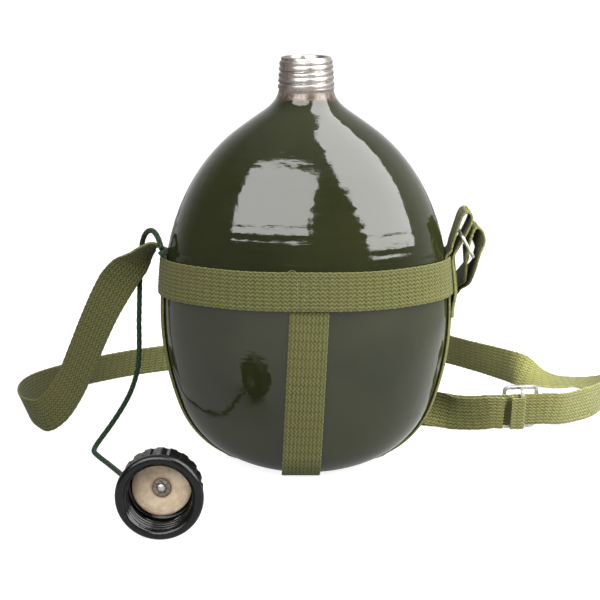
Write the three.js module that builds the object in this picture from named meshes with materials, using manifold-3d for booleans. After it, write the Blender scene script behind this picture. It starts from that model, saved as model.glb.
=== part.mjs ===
// A flattened aluminium canteen in a webbing carrier with a shoulder strap. It stands on its base
// with the screw cap off: the cap lies on its side in front, tied to the carrier by its cord.
// Millimetres, +Z up, -Y is the front, +X is the right. The origin is on the ground under the
// middle of the base.
import * as THREE from 'three';
import { mergeVertices } from 'three/addons/utils/BufferGeometryUtils.js';
import Module from 'manifold-3d';

const wasm = await Module();
wasm.setup();

// Driving dimensions
const GAP = 0.3;
const GROUND_GAP = 0.1;
const WEB_W = 23;
const WEB_T = 1.5;

const BASE_Z = WEB_T + GAP;
const WIDEST_Z = 94;
const DOME_H = 128;
const TOP_Z = 249;
const SHELL_T = 1.2;
const FRONT = { half: 87.5, side: 165, corner: 53 };
const SIDE = { half: 58.5, side: 400, corner: 18 };
const DOME_ROUND = { rise: 2.3, bow: 1.77 };
const NECK = { z: 227, r: 16.6, blend: 24, bore: 13.2, rim: 15.1 };
const THREAD = { from: 230.5, to: 246.6, pitch: 3.4, ridge: 1.2 };
const RECESS = { r: 28, depth: 3 };
const BODY_SIDES = 40;

const BAND = { low: 107, high: 130, out: 2.6 };
const FRONT_STRAP_X = { frontTop: 3, foot: -3.3, backTop: -1 };

const CAP = { x: -79.6, mouthY: -146, length: 23.5, bead: 24.15, rib: 22.9, wall: 21.9 };
const CAP_BORE = { r: 18.9, depth: 20.5, hole: 1.8, threadFrom: 2, threadTo: 14, pitch: 3.4, ridge: 1.1 };
const CAP_RIBS = 20;

const RING = { topX: 93.6, topZ: 143, lowX: 100.8, lowZ: 130, half: 13.6, wire: 1.1, corner: 2.8 };
const SLIDER = { x: 140.5, y: 51.5, z: 16.4, along: 24, across: 31, bar: 2.6, thick: 2.2, raise: 4.8 };
const SLIDER_DROP = 1.1;
const STRAP_HEADING = new THREE.Vector3(0.993, 0.119, 0).normalize();
const STRAP_LEAN = THREE.MathUtils.degToRad(12);

const CORD_D = 3.2;
const KNOT_R = 2.5;

const Y_AXIS = new THREE.Vector3(0, 1, 0);
const Z_AXIS = new THREE.Vector3(0, 0, 1);

const canteen = new THREE.Group();

function material(color, roughness, metalness) {
  return new THREE.MeshStandardMaterial({ color, roughness, metalness });
}

const ENAMEL = material(0x32351d, 0.2, 0.1);
const WEBBING = material(0x6d6e3d, 0.9, 0);
const CORD = material(0x2f4a30, 0.85, 0);
const PLASTIC = material(0x17181a, 0.35, 0);
const RUBBER = material(0xb39a78, 0.75, 0);
const STEEL = material(0xa9a7a8, 0.35, 1);

function add(name, geometry, look) {
  const mesh = new THREE.Mesh(geometry, look);
  mesh.name = name;
  canteen.add(mesh);
  return mesh;
}

function vec(x, y, z) {
  return new THREE.Vector3(x, y, z);
}

// ---- closed bodies from rings of points ----

function withoutSlivers(index) {
  const kept = [];
  for (let i = 0; i < index.length; i += 3) {
    const [a, b, c] = [index[i], index[i + 1], index[i + 2]];
    if (a !== b && b !== c && c !== a) kept.push(a, b, c);
  }
  return kept;
}

function signedVolume(position, index) {
  const [a, b, c] = [vec(0, 0, 0), vec(0, 0, 0), vec(0, 0, 0)];
  let sum = 0;
  for (let i = 0; i < index.length; i += 3) {
    a.fromBufferAttribute(position, index[i]);
    b.fromBufferAttribute(position, index[i + 1]);
    c.fromBufferAttribute(position, index[i + 2]);
    sum += a.dot(b.cross(c));
  }
  return sum;
}

// Joins rings of equal size. `loop` joins the last ring to the first; otherwise both ends are capped.
function loft(rings, loop = false) {
  const size = rings[0].length;
  const index = [];
  const spans = loop ? rings.length : rings.length - 1;
  for (let r = 0; r < spans; r++) {
    const a = r * size;
    const b = ((r + 1) % rings.length) * size;
    for (let i = 0; i < size; i++) {
      const j = (i + 1) % size;
      index.push(a + i, a + j, b + j, a + i, b + j, b + i);
    }
  }
  if (!loop) {
    const last = (rings.length - 1) * size;
    for (let i = 0; i < size / 2 - 1; i++) {
      const [p, q, r, s] = [i, i + 1, size - 2 - i, size - 1 - i];
      index.push(p, r, q, p, s, r);
      index.push(last + p, last + q, last + r, last + p, last + r, last + s);
    }
  }
  let geometry = new THREE.BufferGeometry();
  const points = rings.flat().flatMap((p) => [p.x, p.y, p.z]);
  geometry.setAttribute('position', new THREE.Float32BufferAttribute(points, 3));
  geometry.setIndex(index);
  geometry = mergeVertices(geometry, 1e-3);
  const kept = withoutSlivers(geometry.index.array);
  if (signedVolume(geometry.attributes.position, kept) < 0) kept.reverse();
  geometry.setIndex(kept);
  return geometry;
}

function toSolid(geometry) {
  const bare = new THREE.BufferGeometry();
  bare.setAttribute('position', geometry.attributes.position);
  if (geometry.index) bare.setIndex(geometry.index);
  const merged = mergeVertices(bare, 1e-3);
  const kept = withoutSlivers(merged.index.array);
  return new wasm.Manifold(new wasm.Mesh({
    numProp: 3,
    vertProperties: new Float32Array(merged.attributes.position.array),
    triVerts: new Uint32Array(kept),
  }));
}

function joined(...geometries) {
  let solid = toSolid(geometries[0]);
  for (const next of geometries.slice(1)) solid = solid.add(toSolid(next));
  const mesh = solid.getMesh();
  const geometry = new THREE.BufferGeometry();
  geometry.setAttribute('position', new THREE.BufferAttribute(mesh.vertProperties, 3));
  geometry.setIndex(new THREE.BufferAttribute(mesh.triVerts, 1));
  return geometry;
}

// ---- webbing ----
// A station is a point on the strap's middle line, the direction across it, and `bow`, the radius
// that it is bent to across its width (0 is flat), hollow side away from the outward normal.

function ribbon(stations, pieces = 1) {
  const rings = stations.map((station, i) => {
    const before = stations[Math.max(i - 1, 0)].at;
    const after = stations[Math.min(i + 1, stations.length - 1)].at;
    const along = after.clone().sub(before).normalize();
    const across = station.across.clone();
    across.addScaledVector(along, -across.dot(along)).normalize();
    const outward = along.clone().cross(across);
    const point = (v, side) => {
      const sag = station.bow ? (v * v) / (2 * station.bow) : 0;
      return station.at.clone().addScaledVector(across, v).addScaledVector(outward, side - sag);
    };
    const ring = [];
    for (let k = 0; k <= pieces; k++) ring.push(point(WEB_W * (k / pieces - 0.5), -WEB_T / 2));
    for (let k = pieces; k >= 0; k--) ring.push(point(WEB_W * (k / pieces - 0.5), WEB_T / 2));
    return ring;
  });
  return loft(rings);
}

// Smooth stations through rows of [x, y, z, across x, across y, across z], moved `shift` along the
// normal, and never below the ground.
function strapStations(rows, steps, shift = 0) {
  const path = new THREE.CatmullRomCurve3(rows.map((r) => vec(r[0], r[1], r[2])), false, 'centripetal');
  const turn = new THREE.CatmullRomCurve3(rows.map((r) => vec(r[3], r[4], r[5])), false, 'centripetal');
  const stations = [];
  for (let i = 0; i <= steps; i++) {
    const u = i / steps;
    const t = path.getUtoTmapping(u);
    const at = path.getPoint(t);
    const along = path.getTangent(t);
    const across = turn.getPoint(t).normalize();
    across.addScaledVector(along, -across.dot(along)).normalize();
    const outward = along.cross(across);
    const reach = (WEB_W / 2) * Math.abs(across.z) + (WEB_T / 2 + Math.abs(shift)) * Math.abs(outward.z);
    at.z = Math.max(at.z, reach + GROUND_GAP);
    stations.push({ at: at.addScaledVector(outward, shift), across });
  }
  return stations;
}

// ---- bottle ----

function footHalf(outline) {
  const drop = WIDEST_Z - BASE_Z - outline.corner;
  return outline.half - outline.side + Math.sqrt((outline.side - outline.corner) ** 2 - drop ** 2);
}

function cornerJoin(outline) {
  const drop = WIDEST_Z - BASE_Z - outline.corner;
  return Math.asin(drop / (outline.side - outline.corner));
}

// Half the bottle's size at height z in one outline: foot, corner arc, side arc, dome, neck.
function halfAt(outline, z) {
  if (z > WIDEST_Z) {
    const rise = Math.min((z - WIDEST_Z) / DOME_H, 1);
    const dome = outline.half * (1 - rise ** DOME_ROUND.rise) ** (1 / DOME_ROUND.bow);
    const mix = THREE.MathUtils.clamp(0.5 + (0.5 * (dome - NECK.r)) / NECK.blend, 0, 1);
    return NECK.r * (1 - mix) + dome * mix + NECK.blend * mix * (1 - mix);
  }
  const join = WIDEST_Z - outline.side * Math.sin(cornerJoin(outline));
  if (z >= join) return outline.half - outline.side + Math.sqrt(outline.side ** 2 - (WIDEST_Z - z) ** 2);
  return footHalf(outline) + Math.sqrt(outline.corner ** 2 - (BASE_Z + outline.corner - z) ** 2);
}

function ovalRing(halfX, halfY, z, ridge = () => 0) {
  const ring = [];
  for (let i = 0; i < BODY_SIDES; i++) {
    const angle = (2 * Math.PI * i) / BODY_SIDES;
    const r = ridge(angle);
    ring.push(vec((halfX + r) * Math.cos(angle), (halfY + r) * Math.sin(angle), z));
  }
  return ring;
}

function threadRidge(z) {
  return (angle) => {
    const turn = (z - THREAD.from) / THREAD.pitch - angle / (2 * Math.PI);
    return THREAD.ridge * Math.max(0, Math.cos(2 * Math.PI * turn));
  };
}

function bottleShell() {
  const rings = [];
  const wallRing = (z, inset = 0) => {
    rings.push(ovalRing(halfAt(FRONT, z) - inset, halfAt(SIDE, z) - inset, z));
  };
  rings.push(ovalRing(0, 0, BASE_Z + RECESS.depth));
  rings.push(ovalRing(RECESS.r - 2, RECESS.r - 2, BASE_Z + RECESS.depth));
  rings.push(ovalRing(RECESS.r, RECESS.r, BASE_Z));
  rings.push(ovalRing(footHalf(FRONT), footHalf(SIDE), BASE_Z));
  const lower = 11;
  for (let k = 1; k <= lower; k++) {
    wallRing(BASE_Z + (WIDEST_Z - BASE_Z) * (1 - Math.cos((Math.PI / 2) * (k / lower))));
  }
  const upper = 13;
  for (let k = 1; k <= upper; k++) {
    wallRing(WIDEST_Z + (NECK.z - WIDEST_Z) * Math.sin((Math.PI / 2) * (k / upper)));
  }
  const neckCore = (z) => NECK.r - ((z - NECK.z) / (TOP_Z - NECK.z)) * (NECK.r - NECK.rim);
  const threadRows = 4 * Math.round((THREAD.to - THREAD.from) / THREAD.pitch);
  rings.push(ovalRing(neckCore(THREAD.from) - 0.6, neckCore(THREAD.from) - 0.6, THREAD.from - 1));
  for (let k = 0; k <= threadRows; k++) {
    const z = THREAD.from + ((THREAD.to - THREAD.from) * k) / threadRows;
    const r = neckCore(z) - 0.6;
    rings.push(ovalRing(r, r, z, threadRidge(z)));
  }
  rings.push(ovalRing(NECK.rim, NECK.rim, THREAD.to + 0.8));
  rings.push(ovalRing(NECK.rim, NECK.rim, TOP_Z));
  rings.push(ovalRing(NECK.bore, NECK.bore, TOP_Z));
  rings.push(ovalRing(NECK.bore, NECK.bore, NECK.z - 3));
  const inside = [218, 210, 199, 185, 166, 140, WIDEST_Z, 60, 36, 20, 10];
  for (const z of inside) wallRing(z, SHELL_T);
  const floorZ = BASE_Z + RECESS.depth + SHELL_T;
  wallRing(floorZ, SHELL_T + 1);
  rings.push(ovalRing(0, 0, floorZ));
  return loft(rings);
}

// ---- carrier ----

function waistBand() {
  const ring = (angle) => {
    const corner = (out, z) => {
      const x = (FRONT.half + out) * Math.cos(angle);
      const y = (SIDE.half + out) * Math.sin(angle);
      return vec(x, y, z);
    };
    const [inner, outer] = [BAND.out, BAND.out + WEB_T];
    const inside = [corner(inner, BAND.low), corner(inner, BAND.high)];
    return [...inside, corner(outer, BAND.high), corner(outer, BAND.low)];
  };
  const rings = [];
  const sides = 56;
  for (let i = 0; i < sides; i++) rings.push(ring((2 * Math.PI * i) / sides));
  return loft(rings, true);
}

// A strap's middle line down one side of the bottle and in to the edge of the foot, as [half, z].
function wrapDown(outline, top) {
  const out = GAP + WEB_T / 2;
  const join = cornerJoin(outline);
  const points = [[outline.half + out, top], [outline.half + out, (top + WIDEST_Z) / 2]];
  const sideSteps = 5;
  for (let k = 0; k < sideSteps; k++) {
    const angle = (join * k) / sideSteps;
    const r = outline.side + out;
    points.push([outline.half - outline.side + r * Math.cos(angle), WIDEST_Z - r * Math.sin(angle)]);
  }
  const cornerSteps = 9;
  for (let k = 0; k <= cornerSteps; k++) {
    const angle = join + ((Math.PI / 2 - join) * k) / cornerSteps;
    const r = outline.corner + out;
    points.push([footHalf(outline) + r * Math.cos(angle), BASE_Z + outline.corner - r * Math.sin(angle)]);
  }
  return points;
}

function frontBackStrap() {
  const top = BAND.high - 1;
  const { frontTop, foot, backTop } = FRONT_STRAP_X;
  const down = wrapDown(SIDE, top);
  const front = down.map(([y, z]) => vec(foot + ((frontTop - foot) * z) / top, -y, z));
  const back = down.map(([y, z]) => vec(foot + ((backTop - foot) * z) / top, y, z));
  const wallBend = FRONT.half ** 2 / SIDE.half + 5;
  const station = (at) => ({ at, across: vec(1, 0, 0), bow: at.z > SIDE.corner ? wallBend : 0 });
  return ribbon([...front, ...back.reverse()].map(station), 4);
}

// The side strap's right end: up from its sewn end outside the band, round a slack loop that holds
// the ring, and down inside the band, as [x, z].
const RING_LOOP = [
  [91.4, 92], [91.4, 97], [92.2, 101.5], [93.1, 106.3], [93.1, 118], [93.1, 129],
  [93.2, 133.5], [94.7, 138], [96.6, 143], [98.6, 148], [99.9, 152.3], [98.9, 156.1],
  [96.2, 157.2], [93.8, 154.6], [92, 149.5], [90.5, 143], [89.4, 137], [88.7, 132],
];

// The side strap's left end goes on above the band as the start of the shoulder strap.
const LEFT_START = [
  [-88.6, 0, 131, 0, -1, 0], [-89.6, 0, 133.6, 0.02, -0.98, 0.18], [-92.4, -0.3, 134.6, 0.07, -0.92, 0.36],
  [-96.8, -0.2, 132.4, 0.08, -0.84, 0.53], [-101.5, 1, 128, 0.03, -0.74, 0.67],
  [-106.5, 3.2, 122.4, -0.12, -0.56, 0.8], [-112.2, 6.2, 116, -0.38, -0.38, 0.81],
  [-116.2, 8.7, 110.5, -0.55, -0.18, 0.8],
];

// The radius, across a side strap, of the wall that it lies on at height z.
function wallBow(z) {
  const tilt = Math.atan(halfAt(FRONT, z + 1) - halfAt(FRONT, z));
  return halfAt(SIDE, z) ** 2 / halfAt(FRONT, z) / Math.cos(tilt) + 4;
}

function sideStrap() {
  const across = vec(0, -1, 0);
  const bow = wallBow(WIDEST_Z);
  const stations = RING_LOOP.map(([x, z]) => ({ at: vec(x, 0, z), across, bow: z > 131 ? 0 : bow }));
  const down = wrapDown(FRONT, BAND.high);
  const clear = WEB_W / 2 - FRONT_STRAP_X.foot + 1;
  const over = WEB_T / 2 + BASE_Z;
  const hump = [[RECESS.r - 5, WEB_T / 2], [clear + 2, over - 0.3], [clear, over]];
  const bowAt = (z) => (z > 6 ? -wallBow(z) : 0);
  for (const [x, z] of down) stations.push({ at: vec(x, 0, z), across, bow: bowAt(z) });
  for (const [x, z] of hump) stations.push({ at: vec(x, 0, z), across });
  for (const [x, z] of [...hump].reverse()) stations.push({ at: vec(-x, 0, z), across });
  for (const [x, z] of [...down].reverse()) stations.push({ at: vec(-x, 0, z), across, bow: bowAt(z) });
  const loose = strapStations(LEFT_START, 14);
  return ribbon([...stations, ...loose], 4);
}

function tubeLoop(points, normal, r, sides) {
  const rings = points.map((p, i) => {
    const before = points[(i + points.length - 1) % points.length];
    const after = points[(i + 1) % points.length];
    const outward = after.clone().sub(before).normalize().cross(normal);
    const ring = [];
    for (let k = 0; k < sides; k++) {
      const angle = (2 * Math.PI * k) / sides;
      const rim = p.clone().addScaledVector(outward, r * Math.cos(angle));
      ring.push(rim.addScaledVector(normal, r * Math.sin(angle)));
    }
    return ring;
  });
  return loft(rings, true);
}

function strapRing() {
  const top = vec(RING.topX, 0, RING.topZ);
  const down = vec(RING.lowX, 0, RING.lowZ).sub(top);
  const height = down.length();
  down.normalize();
  const normal = Y_AXIS.clone().cross(down);
  const points = [];
  const corners = [[1, 1], [1, 0], [-1, 0], [-1, 1]];
  corners.forEach(([side, end], i) => {
    const cy = side * (RING.half - RING.corner);
    const cd = end ? height - RING.corner : RING.corner;
    const start = [0, 1, 2, 3][i] * (-Math.PI / 2) + Math.PI / 2;
    for (let k = 0; k <= 3; k++) {
      const angle = start - (Math.PI / 2) * (k / 3);
      const y = cy + RING.corner * Math.cos(angle);
      const d = cd + RING.corner * Math.sin(angle);
      points.push(top.clone().addScaledVector(Y_AXIS, y).addScaledVector(down, d));
    }
  });
  return tubeLoop(points, normal, RING.wire, 8);
}

// ---- shoulder strap ----
// Rows are [x, y, z, across x, across y, across z].

// The strap's loop through the ring: up the inner layer, over, and down the outer layer.
const STRAP_LOOP = [
  [96.5, 22.9, 111.5, -0.34, -0.72, -0.62], [97.5, 20.8, 113.4, -0.33, -0.75, -0.57],
  [98.2, 13, 118.6, -0.16, -0.91, -0.38], [97.3, 5, 123.6, -0.05, -0.98, -0.15],
  [97.1, 0.6, 129, 0, -1, 0], [97.6, 0, 133.5, 0, -1, 0], [98.4, 0, 137.5, 0, -1, 0],
  [100, 0, 143.4, 0, -1, 0], [101.4, 0, 146.9, 0, -1, 0], [103.1, 0, 147.9, 0, -1, 0],
  [104.6, 0, 146, 0.1, -1, 0], [104.8, 0, 141, 0.26, -0.965, 0], [104.9, 0, 137, 0.22, -0.975, 0],
  [104.8, 0, 133, 0.05, -1, 0], [104.1, 0.5, 129, 0, -1, 0], [102.9, 6, 122, -0.05, -0.98, -0.15],
  [101.9, 13.8, 116.4, -0.16, -0.91, -0.38], [100, 20.8, 111.9, -0.33, -0.75, -0.57],
  [99, 22.9, 110, -0.34, -0.72, -0.62],
];

// Middle line of the two layers from below the ring, behind the bottle, to the slider.
const DOUBLED = [
  [97.3, 23.8, 109.9, 0.34, 0.72, 0.62], [93, 32.5, 102, 0.3, 0.82, 0.5], [85, 45, 89.5, 0.36, 0.78, 0.5],
  [75.5, 58, 72, 0.42, 0.77, 0.47], [67.5, 71, 51, 0.5, 0.78, 0.38], [63, 79, 31, 0.55, 0.8, 0.25],
  [65.5, 79, 15.5, 0.55, 0.8, 0.25], [75, 72.5, 9.5, 0.42, 0.66, 0.62], [87, 65, 10.2, 0.2, 0.35, 0.92],
  [98, 58, 11.6, 0.02, -0.05, 1], [108, 53, 12.6, 0.04, -0.18, 0.98], [116, 49.9, 13.8, 0.06, -0.2, 0.978],
];

// From the slider round the loose loop on the right, behind the bottle and up to the left.
const OUT_RIGHT = [
  [168, 57.3, 14.2, 0.06, -0.2, 0.978], [181, 69, 13, 0.05, -0.15, 0.98], [194, 83.5, 12, 0.1, -0.05, 0.99],
  [205, 101, 11.7, 0.25, 0.1, 0.96], [213, 121, 9.8, 0.5, 0.25, 0.83], [216, 141, 6.2, 0.72, 0.5, 0.48],
  [210, 157, 3.8, 0.6, 0.75, 0.28], [197, 167, 2, 0.3, 0.95, 0.02], [182, 166, 2.7, 0.12, 0.98, 0.12],
  [170, 164.5, 6.3, 0, 0.92, 0.39], [156, 168, 10.3, -0.05, 0.5, 0.86], [142, 183.5, 11.6, 0, 0.12, 0.99],
  [124, 204, 11.9, 0, -0.1, 0.99],
  [103, 227.5, 11.9, 0, -0.1, 0.99], [74, 244.5, 11.9, 0, -0.1, 0.99], [38, 252, 11.9, 0, -0.1, 0.99],
  [0, 248.5, 11.9, 0, -0.12, 0.99], [-37, 235.5, 11.8, 0, -0.16, 0.98], [-71, 217, 11.7, 0, -0.26, 0.96],
  [-101, 199.5, 11.5, 0.03, -0.36, 0.93], [-127, 184.5, 11.5, 0.08, -0.36, 0.93],
  [-148, 168, 11.5, 0.12, -0.34, 0.93], [-167, 149, 11.5, 0.13, -0.32, 0.94],
  [-181, 129, 11.6, 0.08, -0.28, 0.96], [-189, 108, 11.7, -0.08, -0.2, 0.97],
  [-190.5, 89, 11.6, -0.26, -0.08, 0.96], [-187, 71.5, 11.1, -0.42, 0.05, 0.9],
  [-180.5, 58.5, 10.6, -0.52, 0.12, 0.85], [-172.4, 49.8, 11.8, -0.56, 0.2, 0.8],
  [-162.5, 42.6, 20, -0.58, 0.22, 0.76], [-151.4, 36, 37.2, -0.7, 0.35, 0.6],
  [-142.4, 28.6, 57, -0.78, 0.38, 0.49], [-134.2, 21.6, 76, -0.79, 0.34, 0.49],
  [-125.4, 14.6, 94.6, -0.8, 0.24, 0.5], [-117.6, 9.6, 108.6, -0.6, -0.12, 0.79],
];

function sliderFrame() {
  const toCamera = vec(STRAP_HEADING.y, -STRAP_HEADING.x, 0);
  const across = Z_AXIS.clone().multiplyScalar(Math.cos(STRAP_LEAN));
  across.addScaledVector(toCamera, Math.sin(STRAP_LEAN));
  const normal = STRAP_HEADING.clone().cross(across);
  return { across, normal, centre: vec(SLIDER.x, SLIDER.y, SLIDER.z) };
}

const AT_SLIDER = sliderFrame();

function sliderRow(distance, shift = 0) {
  const at = AT_SLIDER.centre.clone().addScaledVector(STRAP_HEADING, distance);
  at.addScaledVector(AT_SLIDER.across, -SLIDER_DROP).addScaledVector(AT_SLIDER.normal, shift);
  return [...at.toArray(), ...AT_SLIDER.across.toArray()];
}

const LAYER_SHIFT = 1.6;

function shoulderStrap() {
  const behind = strapStations(DOUBLED, 34, -LAYER_SHIFT);
  const rows = [-19, -10, 0, 10, 19].map((d) => sliderRow(d));
  const through = strapStations(rows, 4);
  const rest = strapStations(OUT_RIGHT, 96);
  return ribbon([...behind, ...through, ...rest]);
}

function strapReturn() {
  const rows = [...DOUBLED, sliderRow(-19, 1.4), sliderRow(-11.2, 2.9)];
  return ribbon(strapStations(rows, 40, LAYER_SHIFT));
}

// Puts a geometry made with x along the strap, y across it and z out of it at the slider.
function placeAtSlider(geometry) {
  const basis = new THREE.Matrix4().makeBasis(STRAP_HEADING, AT_SLIDER.across, AT_SLIDER.normal);
  basis.setPosition(AT_SLIDER.centre);
  return geometry.applyMatrix4(basis);
}

function rectangle(halfX, halfY, Type = THREE.Shape) {
  const shape = new Type();
  shape.moveTo(-halfX, -halfY);
  shape.lineTo(halfX, -halfY);
  shape.lineTo(halfX, halfY);
  shape.lineTo(-halfX, halfY);
  shape.closePath();
  return shape;
}

function slider() {
  const { along, across, bar, thick, raise } = SLIDER;
  const outer = rectangle(along / 2, across / 2);
  outer.holes.push(rectangle(along / 2 - bar, across / 2 - bar, THREE.Path));
  const frame = new THREE.ExtrudeGeometry(outer, { depth: thick, bevelEnabled: false });
  const back = -WEB_T / 2 - GAP - thick;
  frame.translate(0, 0, back);
  const [half, inner] = [across / 2, across / 2 - bar];
  const bridge = new THREE.Shape();
  bridge.moveTo(-half, back + thick / 2);
  bridge.lineTo(-half, raise);
  bridge.lineTo(half, raise);
  bridge.lineTo(half, back + thick / 2);
  bridge.lineTo(inner, back + thick / 2);
  bridge.lineTo(inner, raise - bar / 2);
  bridge.lineTo(-inner, raise - bar / 2);
  bridge.lineTo(-inner, back + thick / 2);
  bridge.closePath();
  const bar3 = new THREE.ExtrudeGeometry(bridge, { depth: bar, bevelEnabled: false });
  const stand = new THREE.Matrix4().makeBasis(vec(0, 1, 0), vec(0, 0, 1), vec(1, 0, 0));
  stand.setPosition(-bar / 2, 0, 0);
  bar3.applyMatrix4(stand);
  return placeAtSlider(joined(frame, bar3));
}

// The strap's end, folded round the slider's middle bar and sewn to itself.
function strapEndFold() {
  const { bar, raise } = SLIDER;
  const inner = { x: bar / 2 + GAP, low: raise - bar / 2 - GAP, high: raise + GAP };
  const skin = 0.9;
  const shape = new THREE.Shape();
  const [x0, x1] = [-inner.x - skin - 4.6, inner.x + skin];
  shape.moveTo(x0, inner.low - skin);
  shape.lineTo(x1 - 1, inner.low - skin);
  shape.lineTo(x1, inner.low);
  shape.lineTo(x1, inner.high);
  shape.lineTo(x1 - 1, inner.high + skin);
  shape.lineTo(x0, inner.high + skin);
  shape.closePath();
  const slot = new THREE.Path();
  slot.moveTo(-inner.x, inner.low);
  slot.lineTo(inner.x, inner.low);
  slot.lineTo(inner.x, inner.high);
  slot.lineTo(-inner.x, inner.high);
  slot.closePath();
  shape.holes.push(slot);
  const fold = new THREE.ExtrudeGeometry(shape, { depth: WEB_W, bevelEnabled: false });
  const lay = new THREE.Matrix4().makeBasis(vec(1, 0, 0), vec(0, 0, 1), vec(0, -1, 0));
  lay.setPosition(0, WEB_W / 2 - SLIDER_DROP, 0);
  return placeAtSlider(fold.applyMatrix4(lay));
}

// ---- cap, lying on its side with its mouth to the front ----
// Rings are turned about the cap's axis; y is the depth behind the mouth.

function turned(r, y, sides, ridge = () => 0) {
  const ring = [];
  for (let i = 0; i < sides; i++) {
    const angle = (2 * Math.PI * i) / sides;
    const size = r + ridge(angle, i);
    ring.push(vec(size * Math.cos(angle), y, size * Math.sin(angle)));
  }
  return ring;
}

function addCapPiece(name, geometry, look) {
  const mesh = add(name, geometry, look);
  mesh.position.set(CAP.x, CAP.mouthY, CAP.bead + 0.05);
  return mesh;
}

function capShell() {
  const sides = CAP_RIBS * 3;
  const plain = (r, y) => turned(r, y, sides);
  const ribbed = (y) => turned(CAP.wall, y, sides, (angle, i) => (i % 3 ? CAP.rib - CAP.wall : 0));
  const back = CAP.length;
  const rings = [
    plain(CAP_BORE.hole, back), plain(17.5, back), plain(20.4, back - 0.8), plain(21.6, back - 2.4),
    ribbed(back - 3), ribbed(5.2), plain(CAP.wall, 4.9), plain(23.4, 4.5), plain(CAP.bead, 3.5),
    plain(CAP.bead, 1), plain(23.3, 0), plain(19.8, 0), plain(CAP_BORE.r, 1),
  ];
  const { threadFrom, threadTo, pitch, ridge } = CAP_BORE;
  const rows = 9;
  for (let k = 0; k <= rows; k++) {
    const y = threadFrom + ((threadTo - threadFrom) * k) / rows;
    const bump = (angle) => -ridge * Math.max(0, Math.cos(2 * Math.PI * (y / pitch + angle / (2 * Math.PI))));
    rings.push(turned(CAP_BORE.r, y, sides, bump));
  }
  rings.push(plain(CAP_BORE.r, threadTo + 1.5), plain(CAP_BORE.r, CAP_BORE.depth));
  rings.push(plain(CAP_BORE.hole, CAP_BORE.depth));
  return loft(rings, true);
}

function flatRing(inner, outer, from, to, sides) {
  const corners = [[inner, from], [outer, from], [outer, to], [inner, to]];
  return loft(corners.map(([r, y]) => turned(r, y, sides)), true);
}

function capRivet() {
  const profile = [
    [0, 16], [1.7, 16], [2.5, 16.4], [2.8, 17.3], [1.45, 17.3], [1.45, 25.3],
    [2.6, 25.3], [2.3, 26], [1.4, 26.4], [0, 26.4],
  ];
  return loft(profile.map(([r, y]) => turned(r, y, 16)));
}

function capEye() {
  const base = flatRing(CAP_BORE.hole, 5, 23.8, 25, 16);
  const path = new THREE.CatmullRomCurve3([
    vec(-4, 24.4, 0), vec(-4, 26.5, 0), vec(-3.9, 28.5, 0), vec(-2.7, 30.7, 0), vec(0, 31.6, 0),
    vec(2.7, 30.7, 0), vec(3.9, 28.5, 0), vec(4, 26.5, 0), vec(4, 24.4, 0),
  ]);
  const wire = new THREE.Shape();
  wire.absarc(0, 0, 0.9, 0, 2 * Math.PI);
  const staple = new THREE.ExtrudeGeometry(wire, { steps: 18, extrudePath: path, curveSegments: 4 });
  return joined(base, staple);
}

// ---- cap cord ----

const CORD_ROUTE = [
  [-86.6, -17, 135.8], [-88.2, -12.8, 139.6], [-90.6, -6.8, 142.8], [-93.6, 0, 143.9], [-97, 6.6, 142.2],
  [-99.8, 11.6, 138], [-101.6, 14.5, 131.5], [-102.6, 15.5, 122], [-103.2, 15.4, 112],
  [-103.6, 15.2, 102], [-104, 15.2, 92], [-104.4, 15.4, 82.5], [-104.5, 15.8, 73], [-104.9, 16.5, 63],
  [-106, 17.6, 53], [-108.5, 19.2, 43.5], [-112.5, 21.4, 33.5], [-118.4, 23.6, 22.8], [-125, 24, 12.8],
  [-130.6, 20.8, 5.6], [-133.6, 13.6, 2.2], [-133.4, 4.4, 1.8], [-129, -6, 1.8], [-121.6, -20, 1.8],
  [-113, -37, 1.8], [-104, -55, 2.3], [-96, -72, 5.4], [-89.5, -87, 12], [-84, -99, 19.4],
  [-80.6, -106.6, 23.4],
];

function capCord() {
  const path = new THREE.CatmullRomCurve3(CORD_ROUTE.map(([x, y, z]) => vec(x, y, z)));
  const section = new THREE.Shape();
  section.absarc(0, 0, CORD_D / 2, 0, 2 * Math.PI);
  return new THREE.ExtrudeGeometry(section, { steps: 56, extrudePath: path, curveSegments: 4 });
}

function knot() {
  return new THREE.SphereGeometry(KNOT_R, 10, 7);
}

add('bottle_shell', bottleShell(), ENAMEL);
add('waist_band', waistBand(), WEBBING);
add('front_back_strap', frontBackStrap(), WEBBING);
add('side_strap', sideStrap(), WEBBING);
add('strap_ring', strapRing(), STEEL);
add('strap_ring_loop', ribbon(strapStations(STRAP_LOOP, 34)), WEBBING);
add('shoulder_strap', shoulderStrap(), WEBBING);
add('strap_return', strapReturn(), WEBBING);
add('slider_frame', slider(), STEEL);
add('strap_end_fold', strapEndFold(), WEBBING);
addCapPiece('cap_shell', capShell(), PLASTIC);
addCapPiece('cap_gasket', flatRing(2.1, 16.4, 18.7, 20.2, 32), RUBBER);
addCapPiece('cap_washer', flatRing(CAP_BORE.hole, 5.2, 17.6, 18.4, 24), STEEL);
addCapPiece('cap_rivet', capRivet(), STEEL);
addCapPiece('cap_eye', capEye(), STEEL);
add('cap_cord', capCord(), CORD);
add('cord_band_knot', knot(), CORD).position.set(-85.9, -18.8, 133.7);
addCapPiece('cord_cap_knot', knot(), CORD).position.y += 35.4;

export default canteen;
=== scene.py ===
"""The canteen's looks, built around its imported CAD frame. Metres, +Z up, -Y is the front.

Lists of places are in millimetres, as a drawing gives them, and MM turns them into metres. The cord's
route is in metres.
"""

import math

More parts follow.
